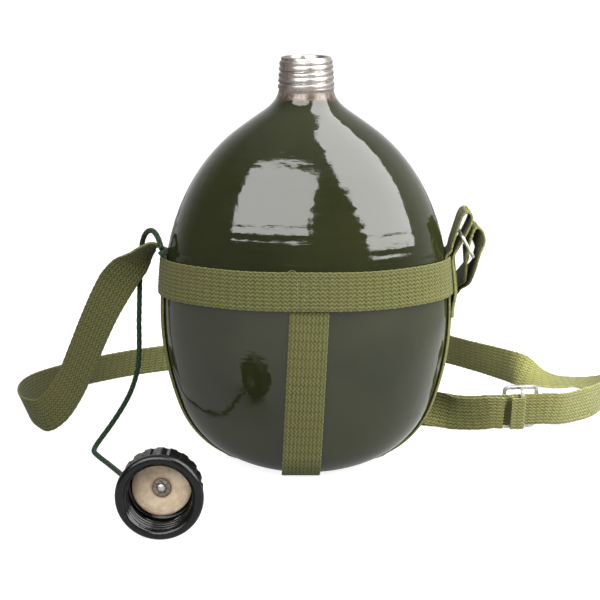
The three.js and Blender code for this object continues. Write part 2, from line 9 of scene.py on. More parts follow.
import bpy
import numpy as np
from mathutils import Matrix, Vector


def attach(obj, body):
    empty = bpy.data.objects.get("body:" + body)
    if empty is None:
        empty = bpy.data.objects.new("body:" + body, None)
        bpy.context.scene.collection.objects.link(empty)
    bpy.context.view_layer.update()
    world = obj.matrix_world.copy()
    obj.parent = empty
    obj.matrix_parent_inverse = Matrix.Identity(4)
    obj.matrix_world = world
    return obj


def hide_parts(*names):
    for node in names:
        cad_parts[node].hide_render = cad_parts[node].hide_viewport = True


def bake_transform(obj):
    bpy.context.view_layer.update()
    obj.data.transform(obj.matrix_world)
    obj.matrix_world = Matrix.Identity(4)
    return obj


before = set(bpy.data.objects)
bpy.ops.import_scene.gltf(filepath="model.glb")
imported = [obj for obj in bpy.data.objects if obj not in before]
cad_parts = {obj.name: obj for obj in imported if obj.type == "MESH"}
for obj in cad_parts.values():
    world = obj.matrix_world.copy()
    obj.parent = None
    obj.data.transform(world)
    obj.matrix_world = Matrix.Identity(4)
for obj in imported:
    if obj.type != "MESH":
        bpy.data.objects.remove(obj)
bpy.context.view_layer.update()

MM = 0.001
TURN = 2 * math.pi

# ---- sizes, in millimetres ----
WEB_W = 23.0
WEB_T = 1.5
GAP = 0.3
BASE_Z = WEB_T + GAP
WIDEST_Z = 94.0
DOME_H = 128.0
TOP_Z = 249.0
SHELL_T = 1.2
FRONT = {"half": 87.5, "side": 165.0, "corner": 53.0}
SIDE = {"half": 58.5, "side": 400.0, "corner": 18.0}
DOME_RISE = 2.3
DOME_BOW = 1.77
NECK = {"z": 227.0, "r": 16.6, "blend": 24.0, "bore": 13.2, "rim": 15.1}
THREAD = {"low": 230.5, "high": 246.6, "pitch": 3.4, "ridge": 1.2, "groove": 229.1}
RECESS_R = 28.0
RECESS_DEPTH = 3.0
BAND = {"low": 107.0, "high": 130.0, "out": 2.6}
FRONT_STRAP_X = {"front_top": 3.0, "foot": -3.3, "back_top": -1.0}
BAND_MIDDLE = (BAND["low"] + BAND["high"]) / 2
BAND_HALF_X = FRONT["half"] + BAND["out"] + WEB_T / 2
CORD_D = 3.2

# ---- the camera: lens and sensor in millimetres, place in metres ----
CAMERA = {"lens": 98.5, "sensor": 36, "at": (-0.0037, -0.983, 0.324), "down_deg": 12.8}

# ---- camera and light ----


def make_camera():
    data = bpy.data.cameras.new("camera")
    data.lens, data.sensor_width = CAMERA["lens"], CAMERA["sensor"]
    camera = bpy.data.objects.new("camera", data)
    camera.location = CAMERA["at"]
    camera.rotation_euler = (math.radians(90 - CAMERA["down_deg"]), 0, 0)
    bpy.context.scene.collection.objects.link(camera)
    bpy.context.scene.camera = camera


make_camera()

# ---- curves ----


def smooth_path(rows, step):
    """Points about `step` apart on the centripetal curve through the rows, with every column."""
    rows = np.array(rows, float)
    ends = [2 * rows[0] - rows[1], *rows, 2 * rows[-1] - rows[-2]]
    fine = []
    for i in range(len(rows) - 1):
        x0, x1, x2, x3 = ends[i : i + 4]
        gaps = [b - a for a, b in ((x0, x1), (x1, x2), (x2, x3))]
        d0, d1, d2 = [max(np.linalg.norm(gap[:3]) ** 0.5, 1e-6) for gap in gaps]
        t1 = ((x1 - x0) / d0 - (x2 - x0) / (d0 + d1) + (x2 - x1) / d1) * d1
        t2 = ((x2 - x1) / d1 - (x3 - x1) / (d1 + d2) + (x3 - x2) / d2) * d1
        t = np.linspace(0, 1, 24, endpoint=False)[:, None]
        rise = x2 - x1
        fine.append(x1 + t1 * t + (3 * rise - 2 * t1 - t2) * t**2 + (t1 + t2 - 2 * rise) * t**3)
    return evenly(np.vstack([*fine, rows[-1:]]), step)


def evenly(points, step):
    """The same line with points about `step` apart; the first three columns are the place."""
    along = distance_along(points)
    at = np.linspace(0, along[-1], max(2, round(along[-1] / step) + 1))
    return np.stack([np.interp(at, along, points[:, k]) for k in range(points.shape[1])], axis=1)


def closed_line(points, step):
    """Points about `step` apart round a closed line."""
    return evenly(np.vstack([points, points[:1]]), step)[:-1]


def distance_along(points):
    return np.r_[0, np.cumsum(np.linalg.norm(np.diff(points[:, :3], axis=0), axis=1))]


def rounded_rectangle(width, height, corner, steps):
    """Places round a rectangle with round corners, about its middle."""
    places = []
    for k, (sx, sy) in enumerate([(1, 1), (-1, 1), (-1, -1), (1, -1)]):
        for t in np.linspace(0, 1, steps + 1):
            angle = TURN / 4 * (k + t)
            places.append((sx * (width / 2 - corner) + corner * math.cos(angle),
                           sy * (height / 2 - corner) + corner * math.sin(angle)))
    return np.array(places)


def unit(v):
    return v / np.maximum(np.linalg.norm(v, axis=-1, keepdims=True), 1e-12)


def square_to(v, along):
    """The unit part of v that is at right angles to the unit vectors along."""
    return unit(v - (v * along).sum(-1, keepdims=True) * along)


def closed_tangent(points):
    return unit(np.roll(points, -1, 0) - np.roll(points, 1, 0))


# ---- meshes ----
# A solid is (points in millimetres, quads, other faces, uv pairs or None).


def volume(points, quads, others):
    """Six times the closed form's signed volume."""
    total = 0.0
    for a, b, c in ((0, 1, 2), (0, 2, 3)):
        p, q, r = points[quads[:, a]], points[quads[:, b]], points[quads[:, c]]
        total += (p * np.cross(q, r)).sum()
    for face in others:
        p = points[list(face)]
        total += sum(np.dot(p[0], np.cross(p[k], p[k + 1])) for k in range(1, len(p) - 1))
    return total


def outward(points, quads, others, uv=None):
    """The solid with its faces pointing out."""
    if volume(points, quads, others) < 0:
        quads = quads[:, ::-1]
        others = [tuple(reversed(face)) for face in others]
    return points, quads, others, uv


def grid(rows, columns, loop=False):
    """Quads between rows of a closed ring; loop joins the last row to the first."""
    r = np.arange(rows if loop else rows - 1)[:, None]
    c = np.arange(columns)[None, :]
    a, b = r * columns, ((r + 1) % rows) * columns
    d = (c + 1) % columns
    return np.stack([a + c, a + d, b + d, b + c], axis=-1).reshape(-1, 4)


def loft(rings, uv=None, loop=False):
    """Joins rings of equal size; unless loop joins the last to the first, the ends are closed."""
    rings = np.asarray(rings, float)
    rows, columns = rings.shape[:2]
    ends = [] if loop else [range(columns), range((rows - 1) * columns, rows * columns)]
    ends = [tuple(ends[0])[::-1], tuple(ends[1])] if ends else []
    return outward(rings.reshape(-1, 3), grid(rows, columns, loop), ends, uv)


def closed_turn(rings):
    """A body of rings whose first and last rings are each one point."""
    rings = np.asarray(rings, float)
    rows, columns = rings.shape[0] - 2, rings.shape[1]
    points = np.vstack([rings[0][:1], rings[1:-1].reshape(-1, 3), rings[-1][:1]])
    last, base = len(points) - 1, 1 + (rows - 1) * columns
    fans = []
    for c in range(columns):
        d = (c + 1) % columns
        fans += [(0, 1 + d, 1 + c), (last, base + c, base + d)]
    return outward(points, grid(rows, columns) + 1, fans)


def make(name, *solids, sharp_deg=60):
    """One mesh object of the solids, shaded smooth up to the angle sharp_deg."""
    points = np.vstack([s[0] for s in solids])
    faces, first = [], 0
    for p, quads, others, _ in solids:
        faces += (quads + first).tolist() + [tuple(i + first for i in face) for face in others]
        first += len(p)
    mesh = bpy.data.meshes.new(name)
    mesh.from_pydata((points * MM).tolist(), [], faces)
    if solids[0][3] is not None:
        uv = np.vstack([s[3] for s in solids])
        loops = np.zeros(len(mesh.loops), np.int32)
        mesh.loops.foreach_get("vertex_index", loops)
        layer = mesh.uv_layers.new(name="weave")
        layer.data.foreach_set("uv", uv[loops].astype(np.float32).ravel())
    mesh.validate()
    mesh.shade_smooth()
    mesh.set_sharp_from_angle(angle=math.radians(sharp_deg))
    made = bpy.data.objects.new(name, mesh)
    bpy.context.scene.collection.objects.link(made)
    return made


def tube(points, radius, sides, relief=None, normal=None):
    """A round tube along the points; relief(u, angle) is added to its radius.

    normal, one direction or one for each point, closes the tube to a loop.
    """
    points = np.asarray(points, float)
    if normal is not None:
        tangent = closed_tangent(points)
        second = square_to(np.broadcast_to(normal, points.shape), tangent)
        first = np.cross(second, tangent)
    else:
        tangent = unit(np.gradient(points, axis=0))
        first = [unit(np.cross(tangent[0], [0.3, 0.2, 0.93]))]
        for t in tangent[1:]:
            first.append(square_to(first[-1], t))
        first = np.array(first)
        second = np.cross(tangent, first)
    u = distance_along(points)[:, None]
    angle = (TURN * np.arange(sides) / sides)[None, :]
    r = np.full((len(points), sides), float(radius))
    if relief is not None:
        r = r + relief(u, angle)
    spokes = np.cos(angle)[..., None] * first[:, None] + np.sin(angle)[..., None] * second[:, None]
    uv = np.stack(np.broadcast_arrays(u * MM, angle / TURN), axis=-1).reshape(-1, 2)
    return loft(points[:, None] + r[..., None] * spokes, uv, loop=normal is not None)


# ---- webbing ----

ROW = 2.3
COLUMNS_PER_ROW = 4
SCALLOP = 5.4
SELVEDGE_BEAD = 1.45


def web_section():
    """The webbing's outline, as places across it and out of it, with round selvedges."""
    half, r = WEB_W / 2, WEB_T / 2
    arc = [(half - r + r * math.sin(a), r * math.cos(a)) for a in np.linspace(0, math.pi / 2, 4)[1:]]
    flat = [(v, r) for v in np.linspace(r - half, half - r, 10 * COLUMNS_PER_ROW + 1)]
    top = [(-v, w) for v, w in reversed(arc)] + flat + arc
    return np.array(top + [(v, -w) for v, w in reversed(top[1:-1])])


SECTION = web_section()


def ribbon(stations, slack=0.0, start_u=0.0, loop=False):
    """Webbing along stations of [x, y, z, across x, y, z, curvature across it], in millimetres."""
    stations = np.asarray(stations, float)
    place, across, curve = stations[:, :3], stations[:, 3:6], stations[:, 6][:, None]
    along = closed_tangent(place) if loop else unit(np.gradient(place, axis=0))
    across = square_to(across, along)
    out = np.cross(along, across)
    u = start_u + distance_along(place)[:, None]
    v, w = SECTION[:, 0][None, :], SECTION[:, 1][None, :]
    edge = np.clip((np.abs(v) - (WEB_W / 2 - 1.6)) / 1.6, 0, 1)
    beads = np.sin(TURN * u / SELVEDGE_BEAD)
    scallop = 0.10 * np.sin(TURN * u / SCALLOP + np.sign(v)) + 0.05 * beads
    corrugation = 0.06 * np.cos(TURN * v / ROW) * (1 - edge)
    width = v * (1 + edge * scallop / (WEB_W / 2))
    depth = w * (1 + edge * 0.10 * beads) + np.sign(w) * corrugation
    ripple = np.sin(u / 17 + 0.21 * v) + 0.6 * np.sin(u / 9.3 - 0.33 * v + 1)
    ripple = slack * ripple * (0.4 + 0.6 * np.abs(v) / (WEB_W / 2))
    lift = depth + ripple - width**2 * curve / 2
    rings = place[:, None] + width[..., None] * across[:, None] + lift[..., None] * out[:, None]
    uv = np.stack(np.broadcast_arrays(u * MM, v * MM), axis=-1).reshape(-1, 2)
    return loft(rings, uv, loop)


# ---- bottle ----


def foot_half(outline):
    drop, reach = WIDEST_Z - BASE_Z - outline["corner"], outline["side"] - outline["corner"]
    return outline["half"] - outline["side"] + math.sqrt(reach**2 - drop**2)


def corner_join(outline):
    drop = WIDEST_Z - BASE_Z - outline["corner"]
    return math.asin(drop / (outline["side"] - outline["corner"]))


def half_at(outline, z):
    """Half the bottle's size at height z: corner arc, side arc, dome, then neck."""
    if z > WIDEST_Z:
        rise = min((z - WIDEST_Z) / DOME_H, 1)
        dome = outline["half"] * (1 - rise**DOME_RISE) ** (1 / DOME_BOW)
        mix = min(max(0.5 + 0.5 * (dome - NECK["r"]) / NECK["blend"], 0), 1)
        return NECK["r"] * (1 - mix) + dome * mix + NECK["blend"] * mix * (1 - mix)
    join = WIDEST_Z - outline["side"] * math.sin(corner_join(outline))
    if z >= join:
        return outline["half"] - outline["side"] + math.sqrt(outline["side"] ** 2 - (WIDEST_Z - z) ** 2)
    rest = outline["corner"] ** 2 - (BASE_Z + outline["corner"] - z) ** 2
    return foot_half(outline) + math.sqrt(max(rest, 0))


# Where the dome is eased into the neck, and the half width and slope that it ends with.
FLARE = {"from": 216.5, "to": 229.0, "end": 16.5, "end_slope": -0.12}


def flared(outline, z):
    """half_at, with the dome eased into the neck."""
    start, run = FLARE["from"], FLARE["to"] - FLARE["from"]
    t = (z - start) / run
    if t <= 0:
        return half_at(outline, z)
    first = half_at(outline, start)
    slope = (first - half_at(outline, start - 0.1)) / 0.1
    bends = (t**3 - 2 * t**2 + t) * slope + (t**3 - t**2) * FLARE["end_slope"]
    return first + (FLARE["end"] - first) * (3 * t**2 - 2 * t**3) + bends * run


BODY_SIDES = 240


def oval(half_x, half_y, z, ridge=0.0):
    angle = TURN * np.arange(BODY_SIDES) / BODY_SIDES
    return np.stack(
        [(half_x + ridge) * np.cos(angle), (half_y + ridge) * np.sin(angle), np.full(BODY_SIDES, z)], axis=1
    )


def spin_marks(z, angle):
    """Faint rings that spinning leaves on the shoulder, in millimetres."""
    zone = math.exp(-(((z - 152) / 24) ** 2)) + 0.3 * math.exp(-(((z - 190) / 22) ** 2))
    rings = 0.55 * math.sin(TURN * z / 8.3 + 0.4) + 0.45 * math.sin(TURN * z / 5.2 + 1.3)
    wobble = 0.25 * np.sin(2 * angle + z / 9) + 0.18 * np.sin(5 * angle - z / 5)
    return 0.075 * zone * (rings + 0.5 * wobble)


def thread_ridge(z, angle):
    """A right-hand thread whose grooves on the front are deep and shallow by turns, from wear."""
    from_back = (angle - TURN / 4) % TURN
    turn = (z - THREAD["groove"]) / THREAD["pitch"] - from_back / TURN
    nearest = np.round(turn)
    worn = 0.60 - 0.36 * (-1) ** nearest * np.sin(from_back / 2) ** 2
    return THREAD["ridge"] * (1 - worn * np.exp(-(((turn - nearest) / 0.17) ** 2)))


def bottle():
    angle = TURN * np.arange(BODY_SIDES) / BODY_SIDES
    recess_top, floor_z = BASE_Z + RECESS_DEPTH, BASE_Z + RECESS_DEPTH + SHELL_T

    def wall(z, inset=0.0, marks=0.0):
        return oval(flared(FRONT, z) - inset, flared(SIDE, z) - inset, z, marks)

    def core(z):
        return NECK["r"] - (z - NECK["z"]) / (TOP_Z - NECK["z"]) * (NECK["r"] - NECK["rim"])

    rings = [oval(0, 0, recess_top)]
    for inset, drop in ((10, 0), (3, 0), (1.8, 0.4), (1, 1.4), (0.2, 2.5),
                        (-0.8, RECESS_DEPTH)):
        rings.append(oval(RECESS_R - inset, RECESS_R - inset, recess_top - drop))
    for inset in (8, 0):
        rings.append(oval(foot_half(FRONT) - inset, foot_half(SIDE) - inset / 5, BASE_Z))
    for t in np.linspace(0, math.pi / 2, 60)[1:]:
        rings.append(wall(BASE_Z + (WIDEST_Z - BASE_Z) * (1 - math.cos(t))))
    for z in np.arange(WIDEST_Z + 1, FLARE["to"], 1.0):
        rings.append(wall(z, marks=spin_marks(z, angle)))
    low, high = THREAD["low"], THREAD["high"]
    for z in np.arange(low - 1.2, high + 0.9, 0.3):
        fade = np.clip(min((z - low + 2.2) / 2.4, (high + 1.2 - z) / 1.0), 0, 1)
        rings.append(oval(core(z) - 0.6, core(z) - 0.6, z, thread_ridge(z, angle) * fade))
    rim, bore = NECK["rim"], NECK["bore"]
    for r, drop in ((rim - 0.1, 0.9), (rim - 0.25, 0.35), (rim - 0.7, 0.05), (rim - 1, 0),
                    (bore + 0.5, 0), (bore + 0.15, 0.15), (bore, 0.6),
                    (bore, TOP_Z - NECK["z"] + 3)):
        rings.append(oval(r, r, TOP_Z - drop))
    for z in [220, 214, 207, *np.arange(199, 20, -7.0), 16, 11]:
        rings.append(wall(z, SHELL_T))
    rings += [wall(floor_z + 1, SHELL_T + 1.5), wall(floor_z, SHELL_T + 4), oval(0, 0, floor_z)]
    return closed_turn(rings)


# ---- carrier straps ----


HUG = 0.2  # the upright straps' gap to the bottle above its widest part
BAND_SNUG = np.array([1.75, 1.3])  # how far the band sits inside its CAD solid, at the side and the front
BAND_LEAN = 0.083  # its slope, in from foot to top


def wrap_down(outline, top):
    """A strap's middle line down one side of the bottle and in to the edge of the foot, as (half, z)."""
    out = GAP + WEB_T / 2
    join = corner_join(outline)
    heights = np.linspace(top, WIDEST_Z + 6, 8)
    points = [(half_at(outline, z) + HUG + WEB_T / 2, z) for z in heights]
    side = (outline["half"] - outline["side"], WIDEST_Z, outline["side"] + out)
    corner = (foot_half(outline), BASE_Z + outline["corner"], outline["corner"] + out)
    turns = (side, np.linspace(0, join, 10, endpoint=False)), (corner, np.linspace(join, TURN / 4, 20))
    for (x, z, r), angles in turns:
        points += [(x + r * math.cos(angle), z - r * math.sin(angle)) for angle in angles]
    return points


def band_place(angle, z):
    """A point in the middle of the band's thickness, and the way out of it."""
    half_x, half_y = np.array([FRONT["half"], SIDE["half"]]) + BAND["out"] + WEB_T / 2 - BAND_SNUG
    x, y = half_x * np.cos(angle), half_y * np.sin(angle)
    normal = unit(np.stack([x / half_x**2, y / half_y**2, 0 * x], axis=-1))
    between_straps = np.exp(-(((np.abs(x) - 50) / 24) ** 2))
    inset = 0.8 * between_straps + BAND_LEAN * (z - BAND_MIDDLE)
    return np.stack([x, y, z + 0 * x], axis=-1) - inset[..., None] * normal, normal


def waist_band():
    angle = np.linspace(0, TURN, 560, endpoint=False)
    sway = 0.30 * np.sin(3 * angle + 0.5) + 0.18 * np.sin(7 * angle)
    place, normal = band_place(angle, BAND_MIDDLE + sway)
    across = np.tile([0.0, 0.0, 1.0], (len(angle), 1)) - BAND_LEAN * normal
    return ribbon(np.hstack([place, across, np.zeros((len(angle), 1))]), slack=0.05, loop=True)


def upright_strap():
    top = BAND["high"] - 1
    bend = FRONT["half"] ** 2 / SIDE["half"] + 5
    rows = []
    for sign, at in ((-1, FRONT_STRAP_X["front_top"]), (1, FRONT_STRAP_X["back_top"])):
        foot = FRONT_STRAP_X["foot"]
        half = []
        for y, z in wrap_down(SIDE, top):
            curve = 1 / bend if z > SIDE["corner"] else 0
            half.append((foot + (at - foot) * z / top, sign * y, z, 1, 0, 0, curve))
        rows += half if sign < 0 else half[::-1]
    return ribbon(smooth_path(rows, 1.0), slack=0.04, start_u=700)


def wall_curve(z):
    """One over the radius, across a side strap, of the wall that it lies on at height z."""
    tilt = math.atan(half_at(FRONT, z + 1) - half_at(FRONT, z))
    return 1 / (half_at(SIDE, z) ** 2 / half_at(FRONT, z) / math.cos(tilt) + 4)


# The side strap's right end: up from its sewn end outside the band, round a slack loop that holds
# the ring, and down inside the band, as (x, z).
RING_LOOP = [
    (90.2, 92), (90.3, 97), (91.1, 101.5), (91.8, 106.3), (90.9, 118), (90, 129),
    (90.7, 133.5), (93.2, 138), (96, 143), (98.3, 148), (99.8, 152.3), (98.9, 156.1),
    (96.2, 157.2), (93.8, 154.6), (92, 149.5), (90, 143), (88.2, 137), (87, 132),
]
# Its left end goes on above the band as the start of the shoulder strap. Rows are place and across.
LEFT_START = [
    (-86.9, 0, 131, 0, -1, 0), (-88.6, 0, 133.5, 0.02, -0.98, 0.18), (-92.4, -0.3, 134.6, 0.07, -0.92, 0.36),
    (-96.8, -0.2, 132.4, 0.08, -0.84, 0.53), (-101.5, 1, 128, 0.03, -0.74, 0.67),
    (-106.5, 3.2, 122.4, -0.12, -0.56, 0.8), (-112.2, 6.2, 116, -0.38, -0.38, 0.81),
    (-116.2, 8.7, 110.5, -0.55, -0.18, 0.8),
]
# The strap's loop through the ring: up the inner layer, over, and down the outer layer.
STRAP_LOOP = [
    (96.5, 22.9, 111.5, -0.34, -0.72, -0.62), (97.5, 20.8, 113.4, -0.33, -0.75, -0.57),
    (98.2, 13, 118.6, -0.16, -0.91, -0.38), (97.3, 5, 123.6, -0.05, -0.98, -0.15),
    (97.1, 0.6, 129, 0, -1, 0), (97.6, 0, 133.5, 0, -1, 0), (98.4, 0, 137.5, 0, -1, 0),
    (100, 0, 143.4, 0, -1, 0), (101.4, 0, 146.9, 0, -1, 0), (103.1, 0, 147.9, 0, -1, 0),
    (104.6, 0, 146, 0.1, -1, 0), (104.8, 0, 141, 0.26, -0.965, 0), (104.9, 0, 137, 0.22, -0.975, 0),
    (104.8, 0, 133, 0.05, -1, 0), (104.1, 0.5, 129, 0, -1, 0), (102.9, 6, 122, -0.05, -0.98, -0.15),
    (101.9, 13.8, 116.4, -0.16, -0.91, -0.38), (100, 20.8, 111.9, -0.33, -0.75, -0.57),
    (99, 22.9, 110, -0.34, -0.72, -0.62),
]
# Middle line of the two layers from below the ring, behind the bottle, to the slider.
DOUBLED = [
    (97.3, 23.8, 109.9, 0.34, 0.72, 0.62), (93, 32.5, 102, 0.3, 0.82, 0.5), (85, 45, 89.5, 0.36, 0.78, 0.5),
    (75.5, 58, 72, 0.42, 0.77, 0.47), (67.5, 71, 51, 0.5, 0.78, 0.38), (63, 79, 31, 0.55, 0.8, 0.25),
    (65.5, 79, 15.5, 0.55, 0.8, 0.25), (75, 72.5, 9.5, 0.42, 0.66, 0.62), (87, 65, 10.2, 0.2, 0.35, 0.92),
    (98, 58, 11.6, 0.02, -0.05, 1), (108, 53, 12.6, 0.04, -0.18, 0.98), (116, 49.9, 13.8, 0.06, -0.2, 0.978),
]
# From the slider round the loose loop on the right, behind the bottle and up to the left.
OUT_RIGHT = [
    (168, 57.3, 14.2, 0.06, -0.2, 0.978), (181, 69, 13, 0.05, -0.15, 0.98), (194, 83.5, 12, 0.1, -0.05, 0.99),
    (205, 101, 11.7, 0.25, 0.1, 0.96), (213, 121, 9.8, 0.5, 0.25, 0.83), (216, 141, 6.2, 0.72, 0.5, 0.48),
    (210, 157, 3.8, 0.6, 0.75, 0.28), (197, 167, 2, 0.3, 0.95, 0.02), (182, 166, 2.7, 0.12, 0.98, 0.12),
    (170, 164.5, 6.3, 0, 0.92, 0.39), (156, 168, 10.3, -0.05, 0.5, 0.86), (142, 183.5, 11.6, 0, 0.12, 0.99),
    (124, 204, 11.9, 0, -0.1, 0.99),
    (103, 227.5, 11.9, 0, -0.1, 0.99), (74, 244.5, 11.9, 0, -0.1, 0.99), (38, 252, 11.9, 0, -0.1, 0.99),
    (0, 248.5, 11.9, 0, -0.12, 0.99), (-37, 235.5, 11.8, 0, -0.16, 0.98), (-71, 217, 11.7, 0, -0.26, 0.96),
    (-101, 199.5, 11.5, 0.03, -0.36, 0.93), (-127, 184.5, 11.5, 0.08, -0.36, 0.93),
    (-148, 168, 11.5, 0.12, -0.34, 0.93), (-167, 149, 11.5, 0.13, -0.32, 0.94),
    (-181, 129, 11.6, 0.08, -0.28, 0.96), (-189, 108, 11.7, -0.08, -0.2, 0.97),
    (-190.5, 89, 11.6, -0.26, -0.08, 0.96), (-187, 71.5, 11.1, -0.42, 0.05, 0.9),
    (-180.5, 58.5, 10.6, -0.52, 0.12, 0.85), (-172.4, 49.8, 11.8, -0.56, 0.2, 0.8),
    (-162.5, 42.6, 20, -0.58, 0.22, 0.76), (-151.4, 36, 37.2, -0.7, 0.35, 0.6),
    (-142.4, 28.6, 57, -0.78, 0.38, 0.49), (-134.2, 21.6, 76, -0.79, 0.34, 0.49),
    (-125.4, 14.6, 94.6, -0.8, 0.24, 0.5), (-117.6, 9.6, 108.6, -0.6, -0.12, 0.79),
]
# raise is how high the middle bar's bridge stands, drop how far below the middle the strap runs.
SLIDER = {
    "along": 24.0, "across": 31.0, "bar": 2.6, "thick": 2.2, "corner": 2.6, "raise": 4.8, "drop": 1.1,
}
SLIDER_AT = np.array([140.5, 51.5, 16.4])
HEADING = unit(np.array([0.993, 0.119, 0.0]))
LEAN = math.radians(12)
TO_FRONT = np.array([HEADING[1], -HEADING[0], 0])
ACROSS = np.array([0, 0, math.cos(LEAN)]) + TO_FRONT * math.sin(LEAN)
NORMAL = np.cross(HEADING, ACROSS)
LAYER_SHIFT = 1.6  # each layer's distance from the line midway between the two
GROUND_GAP = 0.1


def slider_row(distance, shift=0.0):
    at = SLIDER_AT + HEADING * distance - ACROSS * SLIDER["drop"] + NORMAL * shift
    return (*at, *ACROSS)


def laid(rows, shift=0.0):
    """Stations of a strap that stands or lies on the ground where it is low, moved sideways by shift."""
    stations = smooth_path(rows, 1.0)
    along = unit(np.gradient(stations[:, :3], axis=0))
    across = square_to(stations[:, 3:6], along)
    out = np.cross(along, across)
    reach = WEB_W / 2 * np.abs(across[:, 2]) + (WEB_T / 2 + abs(shift)) * np.abs(out[:, 2])
    place = stations[:, :3].copy()
    place[:, 2] = np.maximum(place[:, 2], reach + GROUND_GAP)
    return np.hstack([place + out * shift, across])


def side_rows():
    """The side strap, from its sewn end on the right, under the bottle and up the left side."""
    down = wrap_down(FRONT, BAND["high"])
    clear = WEB_W / 2 - FRONT_STRAP_X["foot"] + 1
    over = WEB_T / 2 + BASE_Z
    hump = [(RECESS_R - 5, WEB_T / 2), (clear + 2, over - 0.3), (clear, over)]
    rows = [(x, 0, z, 0, -1, 0, wall_curve(WIDEST_Z) if z <= 131 else 0) for x, z in RING_LOOP]
    lying = [(x, 0, z, 0, -1, 0, -wall_curve(z) if z > 6 else 0) for x, z in [*down, *hump]]
    rows += lying + [(-row[0], *row[1:]) for row in reversed(lying)]
    return smooth_path(rows + [(*row, 0) for row in LEFT_START], 1.0)


def long_webbing():
    """All the webbing from the ring, under the bottle and round through the slider, in its CAD parts."""
    back = laid(DOUBLED, -LAYER_SHIFT)[::-1]
    through = laid([slider_row(d) for d in (-19, -10, 0, 10, 19)] + OUT_RIGHT)[::-1]
    loop = smooth_path([(*row[:3], -row[3], -row[4], -row[5]) for row in STRAP_LOOP], 0.8)
    ends = [slider_row(-19, 1.4), slider_row(-11.2, 2.9)]
    front = laid([*DOUBLED, *ends], LAYER_SHIFT)
    parts = [side_rows(), np.vstack([through, back]), loop, front]
    line = []
    for number, part in enumerate(parts):
        curve = part[:, 6:7] if part.shape[1] > 6 else np.zeros((len(part), 1))
        line.append(np.hstack([part[:, :6], curve, np.full((len(part), 1), float(number))]))
    line = evenly(np.vstack(line), 1.0)
    number = line[:, 7].copy()
    for _ in range(2):  # takes out the small corners where the parts meet
        line[1:-1] = (line[:-2] + 2 * line[1:-1] + line[2:]) / 4
    cuts = [0, *[int(np.argmax(number > k + 0.5)) for k in range(3)], len(line) - 1]
    return [(line[a : b + 1, :7], float(a)) for a, b in zip(cuts[:-1], cuts[1:])]


# ---- stitching ----


def capsule(a, b, radius):
    """A short round stitch from a to b."""
    a, b = np.asarray(a, float), np.asarray(b, float)
    t = np.linspace(0, math.pi, 6)
    points = a + (b - a) * (0.5 - 0.5 * np.cos(t))[:, None]
    tangent = unit(b - a)
    first = unit(np.cross(tangent, [0.31, 0.2, 0.93]))
    second = np.cross(tangent, first)
    angle = TURN * np.arange(6) / 6
    spokes = np.cos(angle)[:, None] * first + np.sin(angle)[:, None] * second
    return closed_turn(points[:, None] + (radius * np.sin(t))[:, None, None] * spokes[None])


def stitch_line(surface, start, end, pitch=2.5, radius=0.24):
    """Stitches from start to end, which are places on surface(s, z)."""
    start, end = np.asarray(start, float), np.asarray(end, float)
    count = max(1, round(np.linalg.norm(end - start) / pitch))
    made = []
    for k in range(count):
        a = start + (end - start) * (k + 0.12) / count
        b = start + (end - start) * (k + 0.88) / count
        made.append(capsule(surface(*a), surface(*b), radius))
    return made


def box_stitch(surface, half_s, half_z):
    corners = [(-half_s, -half_z), (half_s, -half_z), (half_s, half_z), (-half_s, half_z)]
    lines = [(corners[i], corners[(i + 1) % 4]) for i in range(4)]
    lines += [(corners[0], corners[2]), (corners[1], corners[3])]
    return [stitch for a, b in lines for stitch in stitch_line(surface, a, b)]


def on_band(middle_angle):
    """Places on the band's outside as (distance round it, height above its middle)."""
    step = 0.01
    near, past = [band_place(np.array(middle_angle + turn), 0)[0] for turn in (0, step)]
    rate = np.linalg.norm(past - near) / step

    def surface(s, z):
        place, normal = band_place(np.array(middle_angle + s / rate), BAND_MIDDLE + z)
        return place + normal * (WEB_T / 2 + 0.06)

    return surface


def band_stitches():
    front = math.acos(FRONT_STRAP_X["front_top"] / BAND_HALF_X)
    back = math.acos(FRONT_STRAP_X["back_top"] / BAND_HALF_X)
    made = []
    for middle in (-front, back, 0.0, math.pi):
        made += box_stitch(on_band(middle), 8.6, 8.4)
    return made


LOOSE_THREAD_X = -9


def loose_thread():
    """A loose end of sewing thread that stands up from the band's top edge in a small loop."""
    top = BAND["high"] - BAND_MIDDLE
    surface = on_band(-math.acos(LOOSE_THREAD_X / BAND_HALF_X))
    places = [(-3, top - 1.2, 0.1), (-2.6, top + 0.2, 0.5), (-0.4, top + 1.6, 1.0), (2.2, top + 1.4, 0.8),
              (3.0, top + 0.4, 0.5), (1.4, top + 0.2, 0.4), (0.6, top - 0.6, 0.2)]
    rows = [surface(s, z) + [0, -out, 0] for s, z, out in places]
    return [tube(smooth_path(rows, 0.3), 0.2, 6)]


# ---- ring and slider ----


RING = {"top": (93.6, 0, 143.0), "foot": (100.8, 0, 130.0), "half": 13.6, "corner": 2.8, "wire": 1.1}


def ring():
    top, foot = np.array(RING["top"]), np.array(RING["foot"])
    height, down, sideways = np.linalg.norm(foot - top), unit(foot - top), np.array([0.0, 1.0, 0.0])
    outline = closed_line(rounded_rectangle(2 * RING["half"], height, RING["corner"], 8), 0.6)
    points = (top + foot) / 2 + outline[:, :1] * sideways + outline[:, 1:] * down
    return tube(points, RING["wire"], 16, normal=np.cross(sideways, down))


def at_slider(points):
    """Places made with x along the strap, y across it and z out of it, put where the slider is."""
    points = np.asarray(points, float)
    return SLIDER_AT + points[..., :1] * HEADING + points[..., 1:2] * ACROSS + points[..., 2:3] * NORMAL


